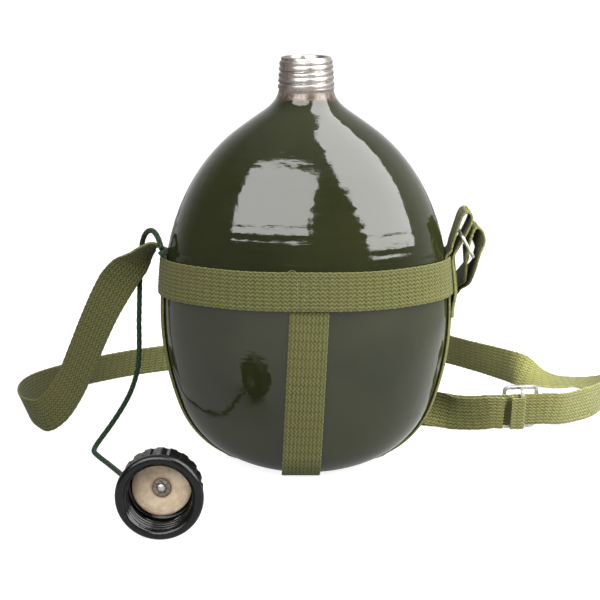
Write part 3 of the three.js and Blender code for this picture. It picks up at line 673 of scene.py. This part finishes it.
def slider():
    bar, thick = SLIDER["bar"], SLIDER["thick"]
    length, width = SLIDER["along"] - bar, SLIDER["across"] - bar
    middle_z, half_y = -WEB_T / 2 - GAP - thick / 2, width / 2
    path = closed_line(rounded_rectangle(length, width, SLIDER["corner"], 8), 0.6)
    way = closed_tangent(path)
    way = np.stack([way[:, 1], -way[:, 0]], axis=1)
    section = rounded_rectangle(bar, thick, 0.55, 3)
    flat = path[:, None] + section[None, :, :1] * way[:, None]
    height = np.broadcast_to(middle_z + section[None, :, 1:], flat.shape[:2] + (1,))
    frame_part = loft(at_slider(np.concatenate([flat, height], axis=-1)), loop=True)
    high = SLIDER["raise"] - bar / 4
    rise = [(half_y, middle_z), (half_y, 0.5), (half_y, high - 2), (half_y - 0.4, high - 0.5),
            (half_y - 1.9, high), (4, high)]
    bridge = smooth_path([(-y, z) for y, z in rise] + rise[::-1], 0.6)
    along = unit(np.gradient(bridge, axis=0))
    out = np.stack([-along[:, 1], along[:, 0]], axis=1)
    section = rounded_rectangle(bar, bar / 2, 0.45, 3)
    rings = np.zeros((len(bridge), len(section), 3))
    rings[..., 0] = section[None, :, 0]
    rings[..., 1:] = bridge[:, None] + section[None, :, 1:] * out[:, None]
    return frame_part, loft(at_slider(rings))


def slider_fold():
    """The strap's end, folded round the slider's middle bar and sewn to itself."""
    bar, raised = SLIDER["bar"], SLIDER["raise"]
    inner_x, low, high = bar / 2 + GAP, raised - bar / 2 - GAP, raised + GAP
    mid_x, mid_low, mid_high = inner_x + 0.45, low - 0.45, high + 0.45
    middle, half = (mid_low + mid_high) / 2, (mid_high - mid_low) / 2
    tail = -inner_x - 0.9 - 4.5
    upper = [(mid_x - 0.1, 0, half - 0.4), (inner_x - 0.6, 0, half), (-inner_x, 0, half), (tail, 0, half)]
    lower = [(x, 0, -z) for x, _, z in reversed(upper)]
    line = smooth_path([*lower, (mid_x, 0, 0), *upper], 0.5) + [0, 0, middle]
    along = unit(np.gradient(line, axis=0))
    out = np.cross(along, [0, 1, 0])
    section = SECTION * [1, 0.42 / (WEB_T / 2)]
    rings = line[:, None] + section[None, :, 1:] * out[:, None]
    rings[..., 1] += section[None, :, 0] - SLIDER["drop"]
    u = distance_along(line)[:, None]
    uv = np.stack(np.broadcast_arrays(u * MM, section[None, :, 0] * MM), axis=-1).reshape(-1, 2)
    return loft(at_slider(rings), uv)


# ---- cap, lying with its mouth to the front ----

CAP_AT = np.array([-79.6, -146.0, 24.2])
CAP_RIBS = 20
CAP_SIDES = 240
CAP_LENGTH, CAP_WALL, CAP_RIB = 23.5, 21.9, 22.9
BORE_R, BORE_DEPTH, HOLE_R = 18.9, 20.5, 1.8
CAP_THREAD = {"low": 2.0, "high": 14.0, "pitch": 3.4, "ridge": 1.1}


def turned(profile, sides=96, loop=True):
    """Rings about the cap's axis; the profile is (radius or radii, depth behind the mouth)."""
    angle = TURN * np.arange(sides) / sides
    rings = []
    for r, y in profile:
        r = np.broadcast_to(r, angle.shape)
        rings.append(CAP_AT + np.stack([r * np.cos(angle), np.full(sides, y), r * np.sin(angle)], axis=1))
    return loft(rings, loop=True) if loop else closed_turn(rings)


def cap_body():
    angle = TURN * np.arange(CAP_SIDES) / CAP_SIDES
    ribs = np.clip(0.5 + 0.85 * np.cos(CAP_RIBS * angle) + 0.45, 0, 1)
    ribs = ribs * ribs * (3 - 2 * ribs)
    back = CAP_LENGTH
    profile = [(HOLE_R, back), (8.0, back), (8.5, back - 0.25), (16.2, back - 0.25), (16.7, back),
               (18.2, back), (19.5, back - 0.2), (20.6, back - 0.9), (21.4, back - 1.9)]
    for y in (*np.linspace(back - 2.5, back - 4, 4), *np.linspace(back - 6, 7, 6), 6.2, 5.6, 5.1):
        fade = np.clip(min((back - 2.2 - y) / 1.8, (y - 4.9) / 1.2), 0, 1)
        profile.append((CAP_WALL - 0.05 + (CAP_RIB - CAP_WALL) * ribs * fade, y))
    profile += [(22.1, 4.8), (22.9, 4.6), (23.6, 4.25), (24.0, 3.7), (24.15, 3.0), (24.1, 2.2),
                (23.85, 1.5), (23.4, 0.88), (22.8, 0.4), (22.0, 0.1), (21.2, 0), (20.5, 0.08),
                (19.9, 0.35), (19.35, 0.8), (BORE_R, 1.4)]
    low, high = CAP_THREAD["low"], CAP_THREAD["high"]
    for y in np.arange(low - 0.6, high + 1.2, 0.34):
        turn = y / CAP_THREAD["pitch"] + angle / TURN
        crest = 0.5 + 0.5 * np.cos(TURN * turn)
        fade = np.clip(min((y - low + 0.6) / 0.8, (high + 1 - y) / 1.2), 0, 1)
        profile.append((BORE_R - CAP_THREAD["ridge"] * crest * crest * (3 - 2 * crest) * fade, y))
    profile += [(BORE_R, high + 1.8), (BORE_R, BORE_DEPTH - 0.5), (BORE_R - 0.5, BORE_DEPTH),
                (HOLE_R, BORE_DEPTH)]
    return turned(profile, CAP_SIDES)


def sealing_disc():
    """A flat disc with the ring that the bottle's rim has pressed into it."""
    top = []
    for r in np.linspace(2.3, 16.1, 40):
        dent = 0.22 * math.exp(-(((r - 14.2) / 0.8) ** 2)) + 0.10 * math.exp(-(((r - 6.2) / 0.5) ** 2))
        top.append((r, 18.72 + dent))
    edge = [(16.35, 18.85), (16.4, 19.1), (16.4, 20.0), (16.2, 20.2)]
    return turned([(2.1, 18.95), *top, *edge, (2.1, 20.2)], 120)


def disc_washer():
    front = [(1.8, 17.75), (1.9, 17.62), (4.6, 17.6), (5.0, 17.7), (5.2, 17.95)]
    return turned([*front, (5.2, 18.4), (1.8, 18.4)], 64)


def pin():
    head = [(2.8 * math.cos(t), 17.3 - 1.3 * math.sin(t)) for t in np.linspace(0.08, math.pi / 2, 9)][::-1]
    foot = [(2.6 * math.cos(t), 25.3 + 1.1 * math.sin(t)) for t in np.linspace(0.05, math.pi / 2, 8)]
    shank = [(2.75, 17.3), (1.45, 17.3), (1.45, 25.3), (2.55, 25.3)]
    return turned([(0, 16.0), *head[1:], *shank, *foot[:-1], (0, 26.4)], 48, loop=False)


def cord_eye():
    back = [(1.8, 24.85), (2.0, 25.0), (4.6, 25.0), (5.0, 24.7)]
    base = turned([(1.8, 23.85), *back, (5.0, 23.8), (2.0, 23.8)], 64)
    leg = [(4, 24.4, 0), (4, 26.5, 0), (3.9, 28.5, 0), (2.7, 30.7, 0)]
    staple = [(-x, y, z) for x, y, z in leg] + [(0, 31.6, 0)] + leg[::-1]
    return base, tube(smooth_path(staple, 0.6) + CAP_AT, 0.9, 14)


# ---- cord ----

BRAID_PITCH = 5.0
CORD_ROUTE = [
    (-0.0866, -0.017, 0.1358), (-0.0882, -0.0128, 0.1396), (-0.0906, -0.0068, 0.1428), (-0.0936, 0, 0.1439),
    (-0.097, 0.0066, 0.1422), (-0.0998, 0.0116, 0.138), (-0.1016, 0.0145, 0.1315), (-0.1026, 0.0155, 0.122),
    (-0.1032, 0.0154, 0.112), (-0.1036, 0.0152, 0.102), (-0.104, 0.0152, 0.092), (-0.1044, 0.0154, 0.0825),
    (-0.1045, 0.0158, 0.073), (-0.1049, 0.0165, 0.063), (-0.106, 0.0176, 0.053), (-0.1085, 0.0192, 0.0435),
    (-0.1125, 0.0214, 0.0335), (-0.1184, 0.0236, 0.0228), (-0.125, 0.024, 0.0128), (-0.1306, 0.0208, 0.0056),
    (-0.1336, 0.0136, 0.0022), (-0.1334, 0.0044, 0.0018), (-0.129, -0.006, 0.0018), (-0.1216, -0.02, 0.0018),
    (-0.113, -0.037, 0.0018), (-0.104, -0.055, 0.0023), (-0.096, -0.072, 0.0054), (-0.0895, -0.087, 0.012),
    (-0.084, -0.099, 0.0194), (-0.0806, -0.1066, 0.0234),
]
BAND_KNOT_AT = (-85.9, -18.8, 133.7)
CAP_KNOT_AT = CAP_AT + [0, 35.4, 0]


def braid(u, angle):
    """What the crossing strands add to the cord's radius."""
    one = np.cos(4 * angle + TURN * u / BRAID_PITCH)
    other = np.cos(4 * angle - TURN * u / BRAID_PITCH)
    return 0.10 * np.maximum(one, other) - 0.04


def knot(middle, turn_deg):
    """A small overhand knot."""
    t = TURN * np.arange(110) / 110
    x, y, z = np.sin(t) + 2 * np.sin(2 * t), np.cos(t) - 2 * np.cos(2 * t), -1.15 * np.sin(3 * t)
    c, s = math.cos(math.radians(turn_deg)), math.sin(math.radians(turn_deg))
    places = 0.58 * np.stack([c * x - s * z, y, s * x + c * z], axis=1) + np.asarray(middle)
    inward = unit(np.asarray(middle) - places)
    return tube(places, 1.12, 18, lambda u, angle: 0.7 * braid(u, angle), inward)


# ---- looks ----


def linear(*srgb):
    """A colour of 0 to 255 as shown, as the linear values that a shader takes."""
    return (*[c / 255 / 12.92 if c <= 10.31 else ((c / 255 + 0.055) / 1.055) ** 2.4 for c in srgb], 1)


class Nodes:
    """A node tree, with short calls for the nodes that are made in it."""

    def __init__(self, tree):
        self.tree = tree

    def node(self, kind, inputs=(), **settings):
        made = self.tree.nodes.new("ShaderNode" + kind)
        for key, value in settings.items():
            setattr(made, key, value)
        for key, value in dict(inputs).items():
            self.feed(made.inputs[key], value)
        return made

    def feed(self, socket, value):
        if isinstance(value, bpy.types.NodeSocket):
            self.tree.links.new(value, socket)
        else:
            socket.default_value = value

    def math(self, operation, *values, clamp=False):
        inputs = dict(enumerate(values))
        return self.node("Math", inputs, operation=operation, use_clamp=clamp).outputs[0]

    def scaled(self, value, by, plus=0.0):
        """value times by, and plus added."""
        return self.math("MULTIPLY_ADD", value, by, plus)

    def wave(self, value, period, phase=0.0):
        """A cosine of that period, from 0 to 1."""
        return self.scaled(self.math("COSINE", self.scaled(value, TURN / period, phase)), 0.5, 0.5)

    def noise(self, vector, scale, detail=2.0, roughness=0.5):
        inputs = {"Vector": vector, "Scale": scale, "Detail": detail, "Roughness": roughness}
        return self.node("TexNoise", inputs).outputs["Fac"]

    def span(self, value, low, high, to_low=0.0, to_high=1.0):
        """value from low to high, eased to to_low to to_high."""
        inputs = {"Value": value, "From Min": low, "From Max": high, "To Min": to_low, "To Max": to_high}
        return self.node("MapRange", inputs, interpolation_type="SMOOTHSTEP").outputs[0]

    def ramp(self, value, *stops):
        made = self.node("ValToRGB", {0: value})
        band = made.color_ramp
        for index, (place, colour) in enumerate(stops):
            stop = band.elements[index] if index < 2 else band.elements.new(place)
            stop.position, stop.color = place, colour
        return made.outputs[0]

    def mix(self, factor, a, b):
        return self.node("Mix", {0: factor, 6: a, 7: b}, data_type="RGBA").outputs[2]

    def stretched(self, vector, x, y, z):
        return self.node("VectorMath", {0: vector, 1: (x, y, z)}, operation="MULTIPLY").outputs[0]


class Look(Nodes):
    """A material's nodes."""

    def __init__(self, name, **fixed):
        self.material = bpy.data.materials.new(name)
        self.material.use_nodes = True
        super().__init__(self.material.node_tree)
        self.shader = self.tree.nodes["Principled BSDF"]
        for key, value in fixed.items():
            self.set(key.replace("_", " ").title().replace("Ior", "IOR"), value)

    def set(self, name, value):
        self.feed(self.shader.inputs[name], value)

    def tone(self, factor, a, b):
        """The base colour, from a to b."""
        self.set("Base Color", self.mix(factor, linear(*a), linear(*b)))

    def roughness(self, value, low, high, to_low, to_high):
        self.set("Roughness", self.span(value, low, high, to_low, to_high))

    def bump(self, height, distance, strength=1.0):
        inputs = {"Height": height, "Distance": distance, "Strength": strength}
        self.set("Normal", self.node("Bump", inputs).outputs[0])

    def weave_uv(self):
        """The weave map, and its two parts in millimetres."""
        vector = self.node("UVMap", uv_map="weave").outputs[0]
        split = self.node("SeparateXYZ", {0: vector}).outputs
        return vector, self.math("MULTIPLY", split[0], 1000.0), self.math("MULTIPLY", split[1], 1000.0)

    def object_place(self):
        vector = self.node("TexCoord").outputs["Object"]
        return vector, self.node("SeparateXYZ", {0: vector}).outputs


def webbing_look():
    look = Look("webbing", roughness=0.9, specular_ior_level=0.25, sheen_weight=0.05, sheen_roughness=0.4)
    vector, u, v = look.weave_uv()
    wander = look.noise(vector, 260, 2)
    soil = look.noise(vector, 30, 3, 0.6)
    fibre = look.noise(look.stretched(vector, 1, 2.6, 1), 1500, 3, 0.7)
    sway = look.math("SINE", look.math("MULTIPLY", u, TURN / 2.7))
    row = look.scaled(sway, 0.52, v)
    row = look.scaled(wander, 1.5, row)
    crest = look.wave(row, ROW, -0.75 * TURN / ROW)
    twist = look.wave(look.scaled(v, 0.8, u), 0.9)
    pick = look.math("POWER", look.wave(u, SCALLOP), 9.0)
    height = look.scaled(twist, 0.22, crest)
    height = look.scaled(fibre, 0.8, height)
    height = look.scaled(pick, -0.28, height)
    # Painted shade and painted highlight: the weave's dips are painted darker and its crests lighter,
    # following the weave's height.
    tone = look.math("MULTIPLY", height, 0.55, clamp=True)
    colour = look.ramp(tone, (0.10, linear(44, 44, 20)), (0.45, linear(68, 69, 35)),
                       (0.75, linear(83, 84, 47)), (1.0, linear(98, 98, 61)))
    soiled = look.mix(look.span(soil, 0.45, 0.75, 0, 0.35), colour, linear(80, 70, 38))
    greener = look.mix(look.span(soil, 0.2, 0.42, 0.28, 0), soiled, linear(62, 73, 37))
    edge = look.span(look.math("ABSOLUTE", v), 10.2, 11.0, 0, 0.22)
    look.set("Base Color", look.mix(edge, greener, linear(100, 100, 62)))
    look.roughness(fibre, 0.3, 0.7, 0.8, 0.95)
    look.bump(height, 0.00028, 0.9)
    return look.material


def cord_look():
    look = Look("cord", roughness=0.8, specular_ior_level=0.25, sheen_weight=0.05, sheen_roughness=0.4)
    vector, u, _ = look.weave_uv()
    around = look.math("MULTIPLY", look.node("SeparateXYZ", {0: vector}).outputs[1], 4.0)
    along = look.math("MULTIPLY", u, 1 / BRAID_PITCH)
    one = look.wave(look.math("ADD", around, along), 1.0)
    other = look.wave(look.math("SUBTRACT", around, along), 1.0)
    strand = look.math("MAXIMUM", one, other)
    fibre = look.noise(look.stretched(vector, 1, 0.01, 1), 2600, 2)
    patch = look.noise(look.stretched(vector, 1, 0.004, 1), 45, 2)
    height = look.scaled(fibre, 0.3, strand)
    # Painted shade and painted highlight: the braid's grooves are painted darker and its strand tops lighter,
    # following the strands' height.
    colour = look.ramp(look.math("MULTIPLY", height, 0.8, clamp=True), (0.3, linear(7, 15, 7)),
                       (0.75, linear(17, 38, 18)), (1.0, linear(38, 62, 38)))
    look.set("Base Color", look.mix(look.span(patch, 0.4, 0.7, 0, 0.4), colour, linear(11, 34, 14)))
    look.roughness(fibre, 0.3, 0.7, 0.7, 0.92)
    look.bump(height, 0.0003, 0.8)
    return look.material


def enamel_look():
    look = Look("enamel", ior=1.52)
    vector, place = look.object_place()
    tint = look.noise(vector, 22, 3, 0.55)
    ragged = look.noise(vector, 260, 4, 0.65)
    fine = look.noise(vector, 620, 2)
    height = look.scaled(ragged, 0.008, place[2])
    bare = look.span(height, 0.2268, 0.2300)
    stained = look.span(height, 0.2310, 0.2395, 1, 0)
    # Painted shade: the bare neck's left side is painted darker, browner and less metallic, in the stain's
    # brown.
    left_neck_shade = look.span(look.scaled(ragged, 0.010, place[0]), -0.009, 0.003, 1, 0)
    # The real brown stain above the paint line, joined with the painted shade on the neck's left side.
    stain_and_left_shade = look.math("MAXIMUM", stained, left_neck_shade)
    paint = look.mix(look.span(tint, 0.35, 0.65), linear(25, 28, 12), linear(31, 33, 15))
    metal = look.mix(look.span(fine, 0.35, 0.7, 0, 0.6), linear(182, 177, 172), linear(140, 132, 126))
    brown = look.math("MULTIPLY", stain_and_left_shade, look.span(ragged, 0.3, 0.65, 0.7, 1))
    metal = look.mix(brown, metal, linear(66, 51, 37))
    look.set("Base Color", look.mix(bare, paint, metal))
    look.set("Metallic", look.math("MULTIPLY", bare, look.scaled(stain_and_left_shade, -0.6, 1.0)))
    scuff = look.noise(look.stretched(vector, 1, 1, 5), 90, 5, 0.7)
    gloss = look.span(scuff, 0.45, 0.8, 0.055, 0.16)
    look.set("Roughness", look.scaled(bare, 0.26, gloss))
    streak = look.noise(look.stretched(vector, 0.12, 0.12, 1), 520, 3, 0.6)
    peel = look.scaled(look.noise(vector, 140, 1), 1.7, look.math("MULTIPLY", fine, 0.16))
    peel = look.scaled(streak, 0.55, peel)
    look.bump(peel, 0.00012, 0.7)
    return look.material


def plastic_look():
    look = Look("cap_plastic", ior=1.5, specular_ior_level=0.32)
    vector, _ = look.object_place()
    dust = look.noise(vector, 900, 3, 0.6)
    wear = look.noise(vector, 120, 4, 0.6)
    look.tone(look.span(dust, 0.55, 0.8, 0, 0.12), (9, 9, 10), (40, 40, 38))
    look.roughness(wear, 0.35, 0.7, 0.12, 0.26)
    look.bump(look.scaled(wear, 0.8, dust), 0.00015, 0.5)
    return look.material


def gasket_look():
    look = Look("gasket", roughness=0.75)
    vector, place = look.object_place()
    dx = look.math("SUBTRACT", place[0], CAP_AT[0] * MM)
    dz = look.math("SUBTRACT", place[2], CAP_AT[2] * MM)
    squares = look.scaled(dx, dx, look.math("MULTIPLY", dz, dz))
    r = look.math("SQRT", squares)
    blotch = look.noise(vector, 190, 4, 0.6)
    grain = look.noise(vector, 1700, 2)
    colour = look.mix(look.span(blotch, 0.35, 0.7), linear(218, 199, 172), linear(197, 173, 143))
    rusty = look.span(look.scaled(blotch, 0.004, r), 0.0065, 0.0092, 0.7, 0)
    colour = look.mix(rusty, colour, linear(128, 84, 58))
    rim = look.span(look.scaled(blotch, 0.003, r), 0.0145, 0.0175, 0, 0.6)
    colour = look.mix(rim, colour, linear(112, 92, 72))
    look.set("Base Color", colour)
    look.roughness(blotch, 0.3, 0.7, 0.65, 0.85)
    look.bump(look.scaled(grain, 0.4, blotch), 0.0002, 0.6)
    return look.material


def steel_look():
    look = Look("steel", metallic=1.0)
    vector, _ = look.object_place()
    smear = look.noise(look.stretched(vector, 1, 1, 0.3), 420, 3, 0.6)
    scratch = look.noise(look.stretched(vector, 1, 1, 14), 320, 3, 0.7)
    dull = look.span(smear, 0.35, 0.7)
    look.tone(dull, (206, 203, 198), (150, 147, 138))
    look.roughness(smear, 0.35, 0.7, 0.36, 0.58)
    look.bump(look.scaled(scratch, 0.6, smear), 0.00012, 0.6)
    return look.material


def washer_look():
    look = Look("washer", roughness=0.55, metallic=0.6)
    vector, _ = look.object_place()
    tarnish = look.noise(vector, 700, 3, 0.6)
    look.tone(look.span(tarnish, 0.35, 0.65), (158, 148, 136), (112, 98, 82))
    look.roughness(tarnish, 0.35, 0.65, 0.42, 0.65)
    look.bump(tarnish, 0.00015, 0.6)
    return look.material


def thread_look():
    look = Look("sewing_thread", roughness=0.8, sheen_weight=0.3, sheen_roughness=0.4)
    vector, _ = look.object_place()
    shade = look.noise(vector, 500, 2)
    look.tone(look.span(shade, 0.35, 0.65), (64, 64, 36), (92, 92, 58))
    look.bump(look.noise(vector, 2600, 2), 0.0001, 0.6)
    return look.material


def floor_look():
    look = Look("floor", roughness=0.9, specular_ior_level=0.1, emission_color=(1, 1, 1, 1))
    vector, _ = look.object_place()
    cloud = look.noise(vector, 3, 2)
    look.tone(look.span(cloud, 0.3, 0.7), (136, 136, 136), (141, 141, 140))
    seen = look.node("LightPath").outputs["Is Camera Ray"]
    look.set("Emission Strength", look.scaled(seen, 0.68, 0.2))
    return look.material


# ---- pieces ----

LOOKS = {
    "enamel": enamel_look(), "webbing": webbing_look(), "cord": cord_look(), "cap_plastic": plastic_look(),
    "gasket": gasket_look(), "steel": steel_look(),
}


def place(name, solids, slot, node, body, sharp_deg=60, look=None):
    made = make(name, *solids, sharp_deg=sharp_deg)
    made.data.materials.append(look or LOOKS[slot])
    if node:
        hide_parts(node)
    if body:
        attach(made, body)
    return made


def pieces():
    route = np.array(CORD_ROUTE) / MM
    line = smooth_path(route, 0.5)
    cord = place("tether_cord", [tube(line, CORD_D / 2, 24, braid)], "cord", "cap_cord", None)
    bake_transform(cord)
    tied = [knot(BAND_KNOT_AT, 20)], [knot(CAP_KNOT_AT, 80)]
    band_knot = place("tether_band_knot", tied[0], "cord", "cord_band_knot", "carrier")
    eye_knot = place("tether_cap_knot", tied[1], "cord", "cord_cap_knot", "cap_tether")
    eye = place("cap_cord_eye", cord_eye(), "steel", "cap_eye", "cap_tether")
    place("bottle", [bottle()], "enamel", "bottle_shell", "bottle", sharp_deg=80)
    band = place("webbing_band", [waist_band()], "webbing", "waist_band", "carrier")
    upright = place("webbing_upright", [upright_strap()], "webbing", "front_back_strap", "carrier")
    names = [("webbing_base_and_ring", "side_strap"), ("shoulder_webbing", "shoulder_strap"),
             ("shoulder_webbing_ring_loop", "strap_ring_loop"), ("shoulder_webbing_return", "strap_return")]
    for (name, node), (stations, start_u) in zip(names, long_webbing()):
        rides = "carrier" if node == "side_strap" else None
        made = place(name, [ribbon(stations, 0.03 if rides else 0.06, start_u)], "webbing", node, rides)
        if not rides:
            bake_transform(made)
    stitches = [(*solid[:3], None) for solid in band_stitches() + loose_thread()]
    place("band_stitching", stitches, "webbing", None, "carrier", look=thread_look())
    place("strap_ring_wire", [ring()], "steel", "strap_ring", "ring")
    place("slider_buckle", slider(), "steel", "slider_frame", "slider", sharp_deg=40)
    fold = place("slider_webbing_end", [slider_fold()], "webbing", "strap_end_fold", "slider")
    place("cap_body", [cap_body()], "cap_plastic", "cap_shell", "cap", sharp_deg=50)
    place("cap_sealing_disc", [sealing_disc()], "gasket", "cap_gasket", "cap")
    place("cap_disc_washer", [disc_washer()], "steel", "cap_washer", "cap_tether", sharp_deg=40,
          look=washer_look())
    place("cap_pin", [pin()], "steel", "cap_rivet", "cap_tether", sharp_deg=50)


pieces()

# ---- stage and light ----


def floor():
    half, down = 14.0, -0.0004
    mesh = bpy.data.meshes.new("floor")
    corners = [(x * half, y * half, down) for x, y in ((-1, -1), (1, -1), (1, 1), (-1, 1))]
    mesh.from_pydata(corners, [], [(0, 1, 2, 3)])
    mesh.materials.append(floor_look())
    made = bpy.data.objects.new("floor", mesh)
    bpy.context.scene.collection.objects.link(made)


def area_light(name, at, aim, energy, width, height):
    data = bpy.data.lights.new(name, "AREA")
    data.shape = "RECTANGLE"
    data.size, data.size_y, data.energy = width, height, energy
    light = bpy.data.objects.new(name, data)
    light.location = at
    light.rotation_euler = (aim - at).to_track_quat("-Z", "Y").to_euler()
    bpy.context.scene.collection.objects.link(light)
    return light


def soft_box(name, azimuth_deg, elevation_deg, width, height, radiance):
    """A soft box 1.1 m from the bottle; azimuth is from the front, to the right."""
    a, e = math.radians(azimuth_deg), math.radians(elevation_deg)
    middle = Vector((0, 0, 0.12))
    at = middle + 1.1 * Vector((math.sin(a) * math.cos(e), -math.cos(a) * math.cos(e), math.sin(e)))
    box = area_light(name, at, middle, 4 * radiance * width * height, width, height)
    box.visible_camera = False


def strap_light():
    """A narrow light on the loose webbing at the right, which the glossy bottle doesn't mirror."""
    at, aim = Vector((0.42, -0.16, 0.34)), Vector((0.1, 0.235, 0.0))
    light = area_light("strap_light", at, aim, 1.7, 0.2, 0.2)
    light.data.spread = math.radians(48)
    light.visible_glossy = False


def surroundings():
    """Bright behind the object, dim in front of it, and pale where the camera looks past the floor."""
    world = bpy.data.worlds.new("surroundings")
    world.use_nodes = True
    bpy.context.scene.world = world
    nodes = Nodes(world.node_tree)
    around = nodes.node("TexCoord").outputs["Generated"]
    turned_by = {0: around, "Angle": math.radians(20)}
    aim = nodes.node("VectorRotate", turned_by, rotation_type="Z_AXIS").outputs[0]
    direction = nodes.node("SeparateXYZ", {0: aim}).outputs
    behind = nodes.span(direction[1], -0.35, 0.75, 0.12, 1.0)
    above = nodes.span(direction[2], 0.45, 1.0, 0.0, 0.6)
    seen = nodes.node("LightPath").outputs["Is Camera Ray"]
    backdrop = world.node_tree.nodes["Background"]
    backdrop.inputs["Color"].default_value = (1, 1, 1, 1)
    nodes.feed(backdrop.inputs["Strength"], nodes.math("MAXIMUM", seen, nodes.math("MAXIMUM", behind, above)))


floor()
soft_box("soft_box_left", -24, 33, 1.03, 0.69, 6.2)
soft_box("soft_box_right", 60, 38, 0.95, 1.25, 7.2)
strap_light()
surroundings()
bpy.context.scene.view_settings.view_transform = "Standard"
